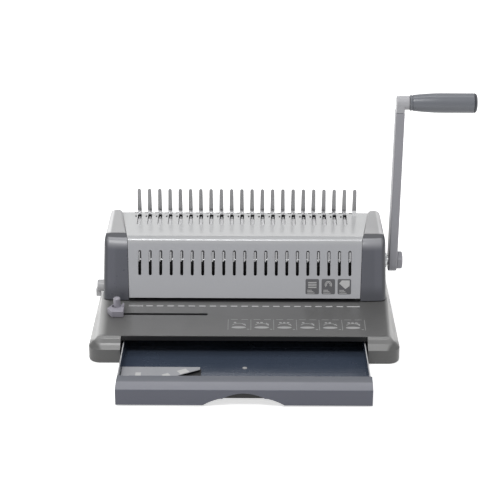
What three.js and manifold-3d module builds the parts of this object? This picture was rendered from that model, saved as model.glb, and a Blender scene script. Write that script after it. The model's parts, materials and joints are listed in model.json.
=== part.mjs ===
// A manual comb binding machine: one side lever punches a row of slots along the edge of
// a stack of sheets and, on the same stroke, draws a row of hooks forwards that open a
// plastic comb held behind fixed fingers. A drawer under the table catches the chips.
// Millimetres. +X is to the right, +Y to the back, +Z up. The origin is the middle of
// the underside. The machine rests with its lever up and its drawer pulled out.

import * as THREE from 'three'
import { mergeVertices } from 'three/addons/utils/BufferGeometryUtils.js'
import Module from 'manifold-3d'

const wasm = await Module()
wasm.setup()

// Driving dimensions: the comb, its pins and the gears

const combPitch = 14.2875          // plastic combs have their rings at 9/16 inch
const slotCount = 21
const fingerCount = 22
const rowShift = 2.42              // fingers and hooks stand a little left of the slots
const punchWidth = 8
const punchThickness = 3
const pinClearance = 0.3
const shaftRadius = 6
const gearModule = 1.5
const punchTeeth = 16
const hookTeeth = 24
const seat = 0.3                   // gap left between two pieces that touch
const overrun = 5                  // how far a cutter reaches past what it cuts
const weld = 0.4                   // how far two joined shapes run into each other

// Driving dimensions across the machine

const rowEnd = 2.625               // the die and the guide run this far past the last pin
const frameMargin = 19.5           // from the end of the die to a side frame
const capMargin = 6.6              // from the end of the die to an end cap, at its foot
const capWidth = 36.6              // an end cap's width, at its foot
const capInnerSplayShare = 0.169   // its inner edge opens out towards the back by this share
const capOuterTaperShare = 0.038   // its outer face closes in by this share
const baseLedge = 9.8              // the base stands out past the end caps by this
const baseWall = 2.5
const bayInset = 42                // from the base's side to the drawer's bay
const drawerSideGap = 2.3
const sheetMetal = 1.5

// Driving dimensions from front to back

const tableFrontInset = 16         // the table's front edge lies this far behind the base's
const tableDepth = 100.7           // from that edge to the foot of the front cover
const carrierGap = 3.41            // from the cover's face to the pressure bar, at the bar's top
const carrierLead = 1.9            // from the bar's front to the middle of the pins
const shaftBehindPins = 35.5
const fingerBehindShaft = 34
const capBehindFinger = 4          // from the fingers to the rear of the end caps
const deckEndGap = 0.73            // the deck stops this far short of it
const rearCoverDepth = 18
const rearLedge = 13               // the base stands out past the rear cover by this
const drawerProud = 7.1            // the shut drawer stands this far out of the base
const drawerPulled = 110.5         // how far the drawer stands out of its shut place

// Driving heights and slopes

const baseSideHeight = 18
const tableFrontHeight = 31
const tableRise = 5
const throatHeight = 3.8           // from the table to the foot of the front cover
const coverHeight = 75.9
const carrierDrop = 5.7            // the pressure bar's top lies this far below the cover's bend
const shaftDrop = 45.2             // and the shaft this far
const bodyLean = deg(18.5)         // the front face leans back from the vertical
const deckSlope = deg(8.4)
const leverLength = 234
const leverLean = deg(4.9)

// Widths and places across worked out from them

const slotX = index => (index - (slotCount - 1) / 2) * combPitch
const fingerX = index => (index - (fingerCount - 1) / 2) * combPitch + rowShift
const rowHalfWidth = slotX(slotCount - 1) + punchWidth / 2 + rowEnd
const frameInnerX = rowHalfWidth + frameMargin
const capInnerHalfWidth = rowHalfWidth + capMargin
const bodyHalfWidth = capInnerHalfWidth + capWidth
const baseHalf = bodyHalfWidth + baseLedge
const bayHalfWidth = baseHalf - bayInset
const drawerHalfWidth = bayHalfWidth - drawerSideGap

// Heights

const tableRearHeight = tableFrontHeight + tableRise
const coverFootZ = tableRearHeight + throatHeight
const coverTopZ = coverFootZ + coverHeight
const carrierTopZ = coverTopZ - carrierDrop
const shaftZ = coverTopZ - shaftDrop

// Depths, first behind the foot of the front cover and then from the middle of the base

const pinsBehindFoot = (carrierTopZ - coverFootZ) * Math.tan(bodyLean) + carrierGap + carrierLead
const fingerBehindFoot = pinsBehindFoot + shaftBehindPins + fingerBehindShaft
const bodyDepth = fingerBehindFoot + capBehindFinger + rearCoverDepth + rearLedge
const baseDepth = tableFrontInset + tableDepth + bodyDepth
const baseFrontY = -baseDepth / 2
const baseRearY = baseDepth / 2
const tableEdgeY = baseFrontY + tableFrontInset
const coverFootY = tableEdgeY + tableDepth
const coverTopY = faceY(coverTopZ)
const punchY = coverFootY + pinsBehindFoot      // middle of the row of pins
const shaftY = punchY + shaftBehindPins
const fingerY = coverFootY + fingerBehindFoot
const capRearY = fingerY + capBehindFinger
const deckRearY = capRearY - deckEndGap
const deckDepth = (deckRearY - coverTopY) / Math.cos(deckSlope)
const drawerShutY = baseFrontY - drawerProud
const drawerFrontY = drawerShutY - drawerPulled

function deg(angle) {
  return angle * Math.PI / 180
}

// Front face of the body at a height, and the deck's top plane at a depth
function faceY(z) {
  return coverFootY + (z - coverFootZ) * Math.tan(bodyLean)
}

function deckZ(y) {
  return coverTopZ + (y - coverTopY) * Math.tan(deckSlope)
}

function capInnerX(y) {
  return capInnerHalfWidth + (y - coverFootY) * capInnerSplayShare
}

function capOuterX(y) {
  return bodyHalfWidth - (y - coverFootY) * capOuterTaperShare
}

// Finishes

const finish = (color, roughness, metalness) =>
  new THREE.MeshStandardMaterial({ color, roughness, metalness })

const tableGrey = finish(0x6b6b6a, 0.55, 0)
const capBlue = finish(0x5d606b, 0.45, 0)
const lightGrey = finish(0xb9b9bb, 0.45, 0)
const coverSilver = finish(0xa6a7ac, 0.38, 0.6)
const deckSilver = finish(0xcfcfd2, 0.25, 0.3)
const leverGrey = finish(0x8f8f95, 0.45, 0.2)
const gripBlue = finish(0x666a77, 0.5, 0)
const drawerBlue = finish(0x353d4c, 0.25, 0)
const drawerGrey = finish(0x6a6a72, 0.45, 0)
const guideLilac = finish(0x9b99a3, 0.45, 0)
const brightSteel = finish(0xc4c6ca, 0.3, 1)
const darkSteel = finish(0x77787c, 0.4, 0.9)
const blackSteel = finish(0x1c1c1e, 0.6, 0.3)
const nylon = finish(0xd9d8d0, 0.6, 0)
const rubber = finish(0x1b1b1c, 0.9, 0)

// The scene: groups that sit at the places the pieces are built around

const machine = new THREE.Group()
machine.name = 'binding_machine'

const tableSlope = Math.atan(tableRise / tableDepth)
const onTable = new THREE.Group()
onTable.position.set(0, tableEdgeY, tableFrontHeight)
onTable.rotation.x = tableSlope

const onDeck = new THREE.Group()
onDeck.position.set(0, coverTopY, coverTopZ)
onDeck.rotation.x = deckSlope

const onShaft = new THREE.Group()
onShaft.position.set(0, shaftY, shaftZ)

const onLever = new THREE.Group()
onLever.rotation.x = leverLean
onShaft.add(onLever)

const atDrawer = new THREE.Group()
atDrawer.position.set(0, drawerFrontY, 0)

machine.add(onTable, onDeck, onShaft, atDrawer)

function piece(name, geometry, material, group = machine) {
  const mesh = new THREE.Mesh(geometry, material)
  mesh.name = name
  group.add(mesh)
  return mesh
}

// Solids: cutting and joining closed meshes

function toSolid(geometry) {
  const bare = geometry.clone()
  for (const name of Object.keys(bare.attributes)) {
    if (name !== 'position') bare.deleteAttribute(name)
  }
  const closed = mergeVertices(bare)
  return new wasm.Manifold(new wasm.Mesh({
    numProp: 3,
    vertProperties: Float32Array.from(closed.attributes.position.array),
    triVerts: Uint32Array.from(closed.index.array),
  }))
}

function toGeometry(solid) {
  const mesh = solid.getMesh()
  const geometry = new THREE.BufferGeometry()
  geometry.setAttribute('position', new THREE.BufferAttribute(Float32Array.from(mesh.vertProperties), 3))
  geometry.setIndex(Array.from(mesh.triVerts))
  return geometry
}

function cut(body, ...tools) {
  let solid = toSolid(body)
  for (const tool of tools) solid = solid.subtract(toSolid(tool))
  return toGeometry(solid)
}

function join(body, ...others) {
  let solid = toSolid(body)
  for (const other of others) solid = solid.add(toSolid(other))
  return toGeometry(solid)
}

function common(body, other) {
  return toGeometry(toSolid(body).intersect(toSolid(other)))
}

// Shapes between limits along the three axes

function box(x0, x1, y0, y1, z0, z1) {
  const geometry = new THREE.BoxGeometry(x1 - x0, y1 - y0, z1 - z0)
  return geometry.translate((x0 + x1) / 2, (y0 + y1) / 2, (z0 + z1) / 2)
}

function shapeOf(points) {
  return new THREE.Shape(points.map(([a, b]) => new THREE.Vector2(a, b)))
}

// An outline in the YZ plane, carried along X
function prismX(points, x0, x1) {
  const geometry = new THREE.ExtrudeGeometry(shapeOf(points), { depth: x1 - x0, bevelEnabled: false })
  const turn = new THREE.Matrix4().makeBasis(
    new THREE.Vector3(0, 1, 0), new THREE.Vector3(0, 0, 1), new THREE.Vector3(1, 0, 0))
  return geometry.applyMatrix4(turn).translate(x0, 0, 0)
}

// An outline in the XY plane, carried along Z
function prismZ(points, z0, z1) {
  const geometry = new THREE.ExtrudeGeometry(shapeOf(points), { depth: z1 - z0, bevelEnabled: false })
  return geometry.translate(0, 0, z0)
}

function rodX(radius, x0, x1, y, z, sides = 24) {
  const geometry = new THREE.CylinderGeometry(radius, radius, x1 - x0, sides)
  return geometry.rotateZ(-Math.PI / 2).translate((x0 + x1) / 2, y, z)
}

function rodZ(radius, x, y, z0, z1, sides = 24) {
  const geometry = new THREE.CylinderGeometry(radius, radius, z1 - z0, sides)
  return geometry.rotateX(Math.PI / 2).translate(x, y, (z0 + z1) / 2)
}

// A profile of [radius, x] points turned about the X axis
function turnedX(profile, sides = 32) {
  const points = profile.map(([radius, x]) => new THREE.Vector2(radius, x))
  return new THREE.LatheGeometry(points, sides).rotateZ(-Math.PI / 2)
}

// Rings of [x, y, z] points, all with as many points and running the same way round,
// skinned from the first to the last. fold names the two points between which the last
// ring's flat face is creased.
function loft(rings, fold = null) {
  const count = rings[0].length
  const positions = rings.flat(2)
  const index = []
  for (let level = 0; level + 1 < rings.length; level++) {
    for (let at = 0; at < count; at++) {
      const next = (at + 1) % count
      const low = level * count
      const high = low + count
      index.push(low + at, low + next, high + next, low + at, high + next, high + at)
    }
  }
  const closeEnd = (ring, members, offset, outwards) => {
    const drop = flatAxis(ring)
    const flat = members.map(at => new THREE.Vector2(...ring[at].filter((value, axis) => axis !== drop)))
    for (const [a, b, c] of THREE.ShapeUtils.triangulateShape(flat, [])) {
      const face = [members[a] + offset, members[b] + offset, members[c] + offset]
      index.push(...(facesOut(face, positions, outwards) ? face : face.reverse()))
    }
  }
  const everyPoint = [...Array(count).keys()]
  const lastOffset = (rings.length - 1) * count
  const towardsStart = ringCentre(rings[0]).sub(ringCentre(rings[1]))
  const towardsEnd = ringCentre(rings[rings.length - 1]).sub(ringCentre(rings[rings.length - 2]))
  closeEnd(rings[0], everyPoint, 0, towardsStart)
  if (fold) {
    const [from, to] = fold
    const inside = everyPoint.filter(at => at >= from && at <= to)
    const outside = everyPoint.filter(at => at <= from || at >= to)
    closeEnd(rings[rings.length - 1], inside, lastOffset, towardsEnd)
    closeEnd(rings[rings.length - 1], outside, lastOffset, towardsEnd)
  } else {
    closeEnd(rings[rings.length - 1], everyPoint, lastOffset, towardsEnd)
  }
  const geometry = new THREE.BufferGeometry()
  geometry.setAttribute('position', new THREE.BufferAttribute(new Float32Array(positions), 3))
  geometry.setIndex(index)
  return geometry
}

function ringCentre(ring) {
  const centre = new THREE.Vector3()
  for (const point of ring) centre.add(new THREE.Vector3(...point))
  return centre.divideScalar(ring.length)
}

// The axis along which a ring is thinnest
function flatAxis(ring) {
  const spans = [0, 1, 2].map(axis => {
    const values = ring.map(point => point[axis])
    return Math.max(...values) - Math.min(...values)
  })
  return spans.indexOf(Math.min(...spans))
}

function facesOut(face, positions, outwards) {
  const [a, b, c] = face.map(at => new THREE.Vector3(...positions.slice(at * 3, at * 3 + 3)))
  return b.sub(a).cross(c.sub(a)).dot(outwards) > 0
}

// Points of an arc round a centre, from one angle to another
function arc(centreA, centreB, radius, from, to, steps) {
  const points = []
  for (let step = 0; step <= steps; step++) {
    const angle = from + (to - from) * step / steps
    points.push([centreA + radius * Math.cos(angle), centreB + radius * Math.sin(angle)])
  }
  return points
}

// An upright or lying slot outline with round ends
function slotOutline(centreA, centreB, halfWidth, halfLength, steps = 6) {
  const run = halfLength - halfWidth
  return [
    ...arc(centreA, centreB + run, halfWidth, 0, Math.PI, steps),
    ...arc(centreA, centreB - run, halfWidth, Math.PI, 2 * Math.PI, steps),
  ]
}

// A rectangle with round corners
function roundedRect(a0, a1, b0, b1, radius, steps = 4) {
  return [
    ...arc(a1 - radius, b0 + radius, radius, -Math.PI / 2, 0, steps),
    ...arc(a1 - radius, b1 - radius, radius, 0, Math.PI / 2, steps),
    ...arc(a0 + radius, b1 - radius, radius, Math.PI / 2, Math.PI, steps),
    ...arc(a0 + radius, b0 + radius, radius, Math.PI, 1.5 * Math.PI, steps),
  ]
}

// Base cover: a moulded shell with a sloping table, scooped front corners and a bay
// for the drawer

const cornerRadius = 15
const tableSideInsetFront = 11
const tableSideInsetRear = 8
const baseFootZ = 0.8
const bayRoof = 7                  // from the table's front edge down to the mouth
const bayTop = tableFrontHeight - bayRoof
const bayRearInset = 32
const bayRearY = baseRearY - bayRearInset
const bayWall = 2
const lipWall = 2.5
const baseRearInset = 11

// Levels of the flank from the side's height up to the table: shares of the rise, of the
// side and rear insets, of the front inset and of the corner's radius
const flankShares = [
  { rise: 0, inset: 0, front: 0, radius: 1 },
  { rise: 0.36, inset: 0.36, front: 0.4, radius: 0.8 },
  { rise: 0.87, inset: 0.87, front: 0.64, radius: 0.6 },
  { rise: 1, inset: 1, front: 1, radius: 0.4 },
]

function tableZ(y) {
  return Math.min(tableRearHeight, tableFrontHeight + (y - tableEdgeY) * Math.tan(tableSlope))
}

// One level of the base's outline, at a share of the flank or at a flat height. The side
// inset shrinks from front to back, so the table's edge runs nearly straight as it climbs.
function baseRing({ level, frontInset, flatZ, wall = 0 }) {
  const cornerSteps = 5
  const radius = cornerRadius * level.radius
  const rearInset = baseRearInset * level.inset
  const halfAt = y => {
    const along = Math.min(1, Math.max(0, (y - tableEdgeY) / (coverFootY - tableEdgeY)))
    const inset = tableSideInsetFront + (tableSideInsetRear - tableSideInsetFront) * along
    return baseHalf - inset * level.inset - wall
  }
  const frontY = baseFrontY + frontInset
  const rearY = baseRearY - rearInset - wall
  const plan = []
  const frontHalf = halfAt(frontY)
  const rearHalf = halfAt(rearY)
  plan.push(...arc(-frontHalf + radius, frontY + radius, radius, Math.PI, 1.5 * Math.PI, cornerSteps))
  plan.push(...arc(frontHalf - radius, frontY + radius, radius, 1.5 * Math.PI, 2 * Math.PI, cornerSteps))
  plan.push([halfAt(coverFootY), coverFootY])
  plan.push(...arc(rearHalf - radius, rearY - radius, radius, 0, Math.PI / 2, cornerSteps))
  plan.push(...arc(-rearHalf + radius, rearY - radius, radius, Math.PI / 2, Math.PI, cornerSteps))
  plan.push([-halfAt(coverFootY), coverFootY])
  return plan.map(([x, y]) => {
    const top = tableZ(y) - wall
    const z = flatZ === undefined ? baseSideHeight + level.rise * (top - baseSideHeight) : flatZ
    return [x, y, z]
  })
}

function baseCover() {
  const frontFold = 12
  const rearFold = 25
  const [side, , , top] = flankShares
  const outside = loft([
    baseRing({ level: side, frontInset: 0, flatZ: baseFootZ }),
    ...flankShares.map(level => baseRing({ level, frontInset: tableFrontInset * level.front })),
  ], [frontFold, rearFold])
  const hollowFront = tableFrontInset + lipWall
  const hollow = loft([
    baseRing({ level: side, frontInset: hollowFront, flatZ: -overrun, wall: baseWall }),
    baseRing({ level: side, frontInset: hollowFront, flatZ: baseSideHeight, wall: baseWall }),
    baseRing({ level: top, frontInset: hollowFront, wall: baseWall }),
  ], [frontFold, rearFold])
  const bayHeight = tableRearHeight - baseWall / 2
  const bayFrontY = tableEdgeY + lipWall - weld
  const bayWalls = [-1, 1].map(side => {
    const inner = side * bayHalfWidth
    const outer = side * (bayHalfWidth + bayWall)
    const wall = box(Math.min(inner, outer), Math.max(inner, outer), bayFrontY, bayRearY + bayWall,
      baseFootZ + overrun / 2, bayHeight)
    return cut(wall, clampRun())
  })
  const bayBack = box(-bayHalfWidth - weld, bayHalfWidth + weld, bayRearY, bayRearY + bayWall,
    baseFootZ + overrun / 2, bayHeight)
  const shell = join(cut(outside, hollow), ...bayWalls.map(wall => common(wall, outside)),
    common(bayBack, outside))
  const mouth = box(-bayHalfWidth, bayHalfWidth, baseFrontY - overrun, tableEdgeY + lipWall + weld,
    -overrun, bayTop)
  const frontGap = box(-bayHalfWidth, bayHalfWidth, baseFrontY - overrun, tableEdgeY, -overrun,
    tableRearHeight + overrun)
  const knobRelief = rodX(knobDiscRadius + 2 * seat, -baseHalf, -knobInnerX + seat, stopY, stopZ)
  return cut(shell, mouth, frontGap, chipWindow(), guideSlit(), knobRelief)
}

// The window below the dies through which the chips fall
function chipWindow() {
  const windowHalfWidth = slotX(slotCount - 1) + punchWidth
  return box(-windowHalfWidth, windowHalfWidth, punchY - chipWindowHalf, punchY + chipWindowHalf,
    tableFrontHeight - baseWall, tableRearHeight + overrun)
}

// Edge guide and its slit

const guideInset = 41.2            // from the base's side to the guide's working face
const guideFaceX = guideInset - baseHalf
const guideSlitFromEdge = 61
const guideSlitY = tableEdgeY + guideSlitFromEdge
const slitHalfWidth = 1.3
const slitRun = 106.4              // from the guide's face to the slit's right end
const slitRightX = guideFaceX + slitRun
const slitInset = 26.5
const slitLeftX = slitInset - baseHalf
const guideStemSetback = 11.2
const guideStemX = guideFaceX - guideStemSetback
const guideStemRadius = 1
const guideHeight = 8.5
const guideClampHalf = 6
const guideClampThickness = 4

function guideSlit() {
  const centre = (slitLeftX + slitRightX) / 2
  const outline = slotOutline(guideSlitY, centre, slitHalfWidth, (slitRightX - slitLeftX) / 2)
  return prismZ(outline.map(([y, x]) => [x, y]).reverse(), tableFrontHeight - 2 * baseWall,
    tableRearHeight + overrun)
}

// The room that the clamp under the slit needs where it crosses the bay's wall
function clampRun() {
  const room = guideClampHalf + overrun / 2
  return box(slitLeftX - room, slitRightX + room, guideSlitY - room, guideSlitY + room,
    bayTop, tableRearHeight)
}

// Punch row: places shared by the pins, their guide, the die and the chip window

const chipWindowHalf = 6
const paperGap = 2.1               // height of the throat between die and guide
const dieThickness = 3
const dieFootZ = tableRearHeight + seat
const dieTopZ = dieFootZ + dieThickness
const guideFootZ = dieTopZ + paperGap
const carrierHeight = 11.8
const carrierFootZ = carrierTopZ - carrierHeight
const pinStemHeight = 15.4
const guideTopZ = carrierFootZ - pinStemHeight
const guideLead = 5                // from the guide's front to the middle of the pins
const guideTail = 4.5
const guideFrontY = punchY - guideLead
const guideRearY = punchY + guideTail
const guideSheet = 2
const frameSheet = 2
const carrierTail = 3.9
const carrierFrontY = punchY - carrierLead
const carrierRearY = punchY + carrierTail

// Margin stop: an eccentric rod behind the pins, in the throat, with journals at its ends,
// and the knob that turns it

const stopBehindPins = 7.5
const stopY = punchY + stopBehindPins
const stopRadius = 2
const stopThrow = 0.8              // how far the rod lies off the axis it turns on
const stopJournal = 3
const stopZ = dieTopZ + seat + stopRadius + stopThrow
const knobGap = 0.7
const knobInnerX = bodyHalfWidth + knobGap
const knobDiscRadius = 8
const knobDiscThickness = 7
const knobDiscOuterX = knobInnerX + knobDiscThickness
const knobTabSetback = 4.9
const knobTabThickness = 7.3
const knobTabInnerX = knobInnerX + knobTabSetback
const knobTabOuterX = knobTabInnerX + knobTabThickness
const knobTabHalf = 4
const knobTabReach = 12.6
const knobTabCorner = 2
const stopEndInset = 1.5
const stopReach = rowHalfWidth - stopEndInset

piece('base_cover', baseCover(), tableGrey)

// Base plate: a steel sheet with a pressed-out middle panel that stands lowest, and
// four rubber feet round it

const plateThickness = 1.2

function basePlate() {
  const panelSideInset = 62.5
  const panelEndInset = 60
  const panelHalfWidth = baseHalf - panelSideInset
  const panelHalfDepth = baseDepth / 2 - panelEndInset
  const panelCorner = 12
  const halfWidth = baseHalf - baseWall - seat
  const rearY = baseRearY - baseWall - seat
  const frontY = tableEdgeY + lipWall + seat
  const sheet = prismZ(roundedRect(-halfWidth, halfWidth, frontY, rearY, cornerRadius),
    baseFootZ, baseFootZ + plateThickness)
  const panel = prismZ(roundedRect(-panelHalfWidth, panelHalfWidth, -panelHalfDepth, panelHalfDepth,
    panelCorner), 0, baseFootZ + plateThickness / 2)
  const pressed = panelHalfWidth - plateThickness
  const pressedDepth = panelHalfDepth - plateThickness
  const recess = prismZ(roundedRect(-pressed, pressed, -pressedDepth, pressedDepth,
    panelCorner - plateThickness), plateThickness, overrun)
  return cut(join(sheet, panel), recess)
}

piece('base_plate', basePlate(), blackSteel)

const footRadius = 9
const footReach = 1.5              // the feet stand this far below the panel
const footEdge = 0.8
const footSideInset = 21.5
const footFrontInset = 14
const footRearInset = 17
const footX = baseHalf - footSideInset
const footFrontY = baseFrontY + footFrontInset
const footRearY = baseRearY - footRearInset

function foot() {
  const top = baseFootZ - seat
  const profile = [[0, -footReach], [footRadius - footEdge, -footReach],
    [footRadius, -footReach + footEdge], [footRadius, top], [0, top]]
  const points = profile.map(([radius, z]) => new THREE.Vector2(radius, z))
  return new THREE.LatheGeometry(points, 16).rotateX(Math.PI / 2)
}

for (const [name, x, y] of [
  ['foot_front_left', -footX, footFrontY], ['foot_front_right', footX, footFrontY],
  ['foot_rear_left', -footX, footRearY], ['foot_rear_right', footX, footRearY],
]) piece(name, foot(), rubber).position.set(x, y, 0)

// Front cover: one bent sheet. It rises from the throat, leans back, bends over and
// ends in a narrow band at the deck's slope. Its edges splay with the end caps.

const bandDepth = 9                // how far the cover runs on past its top bend
const bendRadius = 3.5
const hemDepth = 9
const slotHalfWidth = 1.75
const slotHalfLength = 17.2
const slotDrop = 30.3              // the slots' middle lies this far below the top bend
const slotMidZ = coverTopZ - slotDrop

// The plan between the two end caps, less a gap at each side
function betweenCaps(frontY, rearY, gap, z0, z1) {
  return prismZ([
    [-capInnerX(frontY) + gap, frontY], [capInnerX(frontY) - gap, frontY],
    [capInnerX(rearY) - gap, rearY], [-capInnerX(rearY) + gap, rearY],
  ], z0, z1)
}

// A point measured from the top bend: along runs back on the deck, depth goes down into it
function deckPoint(along, depth) {
  return [
    coverTopY + along * Math.cos(deckSlope) + depth * Math.sin(deckSlope),
    coverTopZ + along * Math.sin(deckSlope) - depth * Math.cos(deckSlope),
  ]
}

// The cover's section at a depth below its outer face, from hem to band
function coverLine(depth, steps) {
  const bendAngle = Math.PI / 2 - bodyLean - deckSlope
  const reach = bendRadius * Math.tan(bendAngle / 2)
  const centreY = coverTopY - reach * Math.sin(bodyLean) + bendRadius * Math.cos(bodyLean)
  const centreZ = coverTopZ - reach * Math.cos(bodyLean) - bendRadius * Math.sin(bodyLean)
  const bend = arc(centreY, centreZ, bendRadius - depth, Math.PI - bodyLean,
    Math.PI / 2 + deckSlope, steps)
  const footY = faceY(coverFootZ + depth) + depth / Math.cos(bodyLean)
  return [[coverFootY + hemDepth, coverFootZ + depth], [footY, coverFootZ + depth], ...bend,
    deckPoint(bandDepth, depth)]
}

function frontCover() {
  const bendSteps = 5
  const outer = coverLine(0, bendSteps)
  const inner = coverLine(sheetMetal, bendSteps)
  const reach = bodyHalfWidth
  const sheet = prismX([...outer, ...inner.reverse()].reverse(), -reach, reach)
  const trimmed = common(sheet, betweenCaps(coverFootY - overrun, deckRearY, seat, 0,
    coverTopZ + 2 * overrun))
  const cutters = []
  for (let index = 0; index < slotCount; index++) {
    const outline = slotOutline(slotX(index), 0, slotHalfWidth, slotHalfLength, 4)
    const cutter = prismZ(outline, -overrun, overrun).rotateX(Math.PI / 2 - bodyLean)
    cutters.push(cutter.translate(0, faceY(slotMidZ), slotMidZ))
  }
  return cut(trimmed, ...cutters)
}

piece('front_cover', frontCover(), coverSilver)

// Deck: a glossy sheet on the body's slope with a slot for each hook and each finger.
// Local axes: Y back along the slope, Z square to it.

const fingerSheet = 1.6
const deckLip = 6
const deckBend = 2.5
const hookSlotHalfWidth = 2.5
const hookSlotLead = 33            // from the fingers forwards to the slots' front end
const hookSlotTail = 3.4
const hookSlotFrontY = fingerY - hookSlotLead
const hookSlotRearY = fingerY - hookSlotTail
const hookShift = 0.6              // a hook stands this far right of its finger
const fingerSlotLeft = 7
const fingerSlotRight = 3

const alongDeck = y => (y - coverTopY) / Math.cos(deckSlope)

function deckPlate() {
  const frontAt = bandDepth + seat
  const bendAt = deckDepth - deckBend
  const bendSteps = 4
  const lineAt = depth => [
    [frontAt, -depth],
    ...arc(bendAt, -deckBend, deckBend - depth, Math.PI / 2, deckSlope, bendSteps),
    [bendAt + (deckBend - depth) * Math.cos(deckSlope) + deckLip * Math.sin(deckSlope),
      -deckBend - deckLip],
  ]
  const sheet = prismX([...lineAt(0), ...lineAt(sheetMetal).reverse()].reverse(),
    -bodyHalfWidth, bodyHalfWidth)
  const halfAt = along => capInnerX(coverTopY + along * Math.cos(deckSlope)) - seat
  const plan = prismZ([[-halfAt(0), 0], [halfAt(0), 0],
    [halfAt(deckDepth + overrun), deckDepth + overrun],
    [-halfAt(deckDepth + overrun), deckDepth + overrun]], -deckDepth, overrun)
  const cutters = []
  for (let index = 0; index < fingerCount; index++) {
    const x = fingerX(index)
    const back = alongDeck(fingerY + fingerSheet / 2 + seat)
    const front = alongDeck(fingerY - fingerSheet / 2 - seat)
    cutters.push(box(x - fingerSlotLeft, x + fingerSlotRight, front, back, -overrun, overrun))
    if (index < slotCount) {
      const from = alongDeck(hookSlotFrontY)
      const to = alongDeck(hookSlotRearY)
      const outline = slotOutline(x + hookShift, (from + to) / 2, hookSlotHalfWidth, (to - from) / 2, 3)
      cutters.push(prismZ(outline, -overrun, overrun))
    }
  }
  return cut(common(sheet, plan), ...cutters)
}

piece('deck', deckPlate(), deckSilver, onDeck)

// End caps: a dark lower shell that follows the cover's profile, and a light top shell
// that rises over the deck and rounds down at the back

const capWall = 2.5
const capFootZ = tableRearHeight + seat
const capFrontProud = 0.4
const capFrontCorner = 8
const capRearCorner = 7
const capTopSetback = 1.8          // the light shell starts this far behind the cover's band
const capTopSplitY = coverTopY + bandDepth + capTopSetback
const capTopSplitDepth = 2.8       // the light shell starts this far under the deck's plane
const capShoulder = 6
const capDraft = 1.6

// Outline of the dark shell at a share of its height, drawn in by an inset
function capRing(heightShare, inset, wall, innerX) {
  const z = y => capFootZ + heightShare * (deckZ(y) - wall - capFootZ)
  const frontAt = faceY(capFootZ + heightShare * (coverTopZ - capFootZ)) - capFrontProud + inset + wall
  const rearAt = capRearY - inset - wall
  const outerAt = y => capOuterX(y) - capDraft * heightShare ** 4 - inset - wall
  const radius = Math.max(capFrontCorner - wall - inset / 2, capFrontCorner / 4)
  const rearRadius = Math.max(capRearCorner - wall - inset / 2, capRearCorner / 4)
  const steps = 4
  const innerAt = y => (innerX === undefined ? capInnerX(y) : innerX)
  const plan = [
    [innerAt(frontAt), frontAt],
    ...arc(outerAt(frontAt) - radius, frontAt + radius, radius, -Math.PI / 2, 0, steps),
    ...arc(outerAt(rearAt) - rearRadius, rearAt - rearRadius, rearRadius, 0, Math.PI / 2, steps),
    [innerAt(rearAt), rearAt],
  ]
  return plan.map(([x, y]) => [x, y, z(y)])
}

const shoulderShares = [
  { share: 0, inset: 0 }, { share: 0.45, inset: 0 }, { share: 0.93, inset: 0 },
  { share: 0.965, inset: 0.1 }, { share: 0.988, inset: 0.35 }, { share: 1, inset: 0.85 },
]

const belowShare = -0.1            // where a hollow starts, under the shell it opens

function capShell() {
  const outside = loft(shoulderShares.map(({ share, inset }) => capRing(share, inset * capShoulder, 0)))
  const farIn = capInnerHalfWidth - 3 * overrun
  const inside = loft([
    capRing(belowShare, 0, capWall, farIn),
    ...shoulderShares.slice(1).map(({ share, inset }) =>
      capRing(share, inset * capShoulder, capWall, farIn)),
  ])
  return { outside, inside }
}

// Mirror a right-hand geometry to the left, keeping its faces outwards
function mirrored(geometry) {
  const copy = geometry.index ? geometry.clone() : mergeVertices(geometry)
  copy.scale(-1, 1, 1)
  const order = Array.from(copy.index.array)
  for (let at = 0; at < order.length; at += 3) order.splice(at, 3, order[at], order[at + 2], order[at + 1])
  copy.setIndex(order)
  return copy
}

const shaftBoss = 12

function endCap(side) {
  const { outside, inside } = capShell()
  const splitZ = y => deckZ(y) - capTopSplitDepth
  const behind = capRearY + overrun
  const above = prismX([[capTopSplitY, splitZ(capTopSplitY)], [behind, splitZ(behind)],
    [behind, splitZ(behind) + 4 * overrun], [capTopSplitY, splitZ(behind) + 4 * overrun]], 0, baseHalf)
  const hole = side > 0
    ? rodX(shaftRadius + 2 * seat, bodyHalfWidth - shaftBoss, bodyHalfWidth + overrun, shaftY, shaftZ)
    : rodX(stopJournal + 2 * seat, bodyHalfWidth - shaftBoss, bodyHalfWidth + overrun, stopY, stopZ)
  const shell = cut(outside, inside, above, hole)
  return side > 0 ? shell : mirrored(shell)
}

piece('end_cap_left', endCap(-1), capBlue)
piece('end_cap_right', endCap(1), capBlue)

// Light top shell of an end cap: sections across X, carried back along the slope

const capTopRise = 4.4             // how far it stands over the deck's plane at the back
const capTopRiseFront = 0.7
const capTopRearRound = 15
const capTopRoundShare = 0.77      // how far round its last curve the top is carried
const capTopWall = 2
const capTopOuterShoulder = 6
const capTopInnerShoulder = 3.2
const outerShoulderShares = { height: 0.9, width: 0.55 }
const innerShoulderShares = { height: 0.6, width: 0.3 }
const capTopShares = [0, 0.25, 0.5, 0.75, 0.86, 0.93, 0.975, 1]
const capTopHollowShares = [0.07, 0.5, 0.78]

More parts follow.
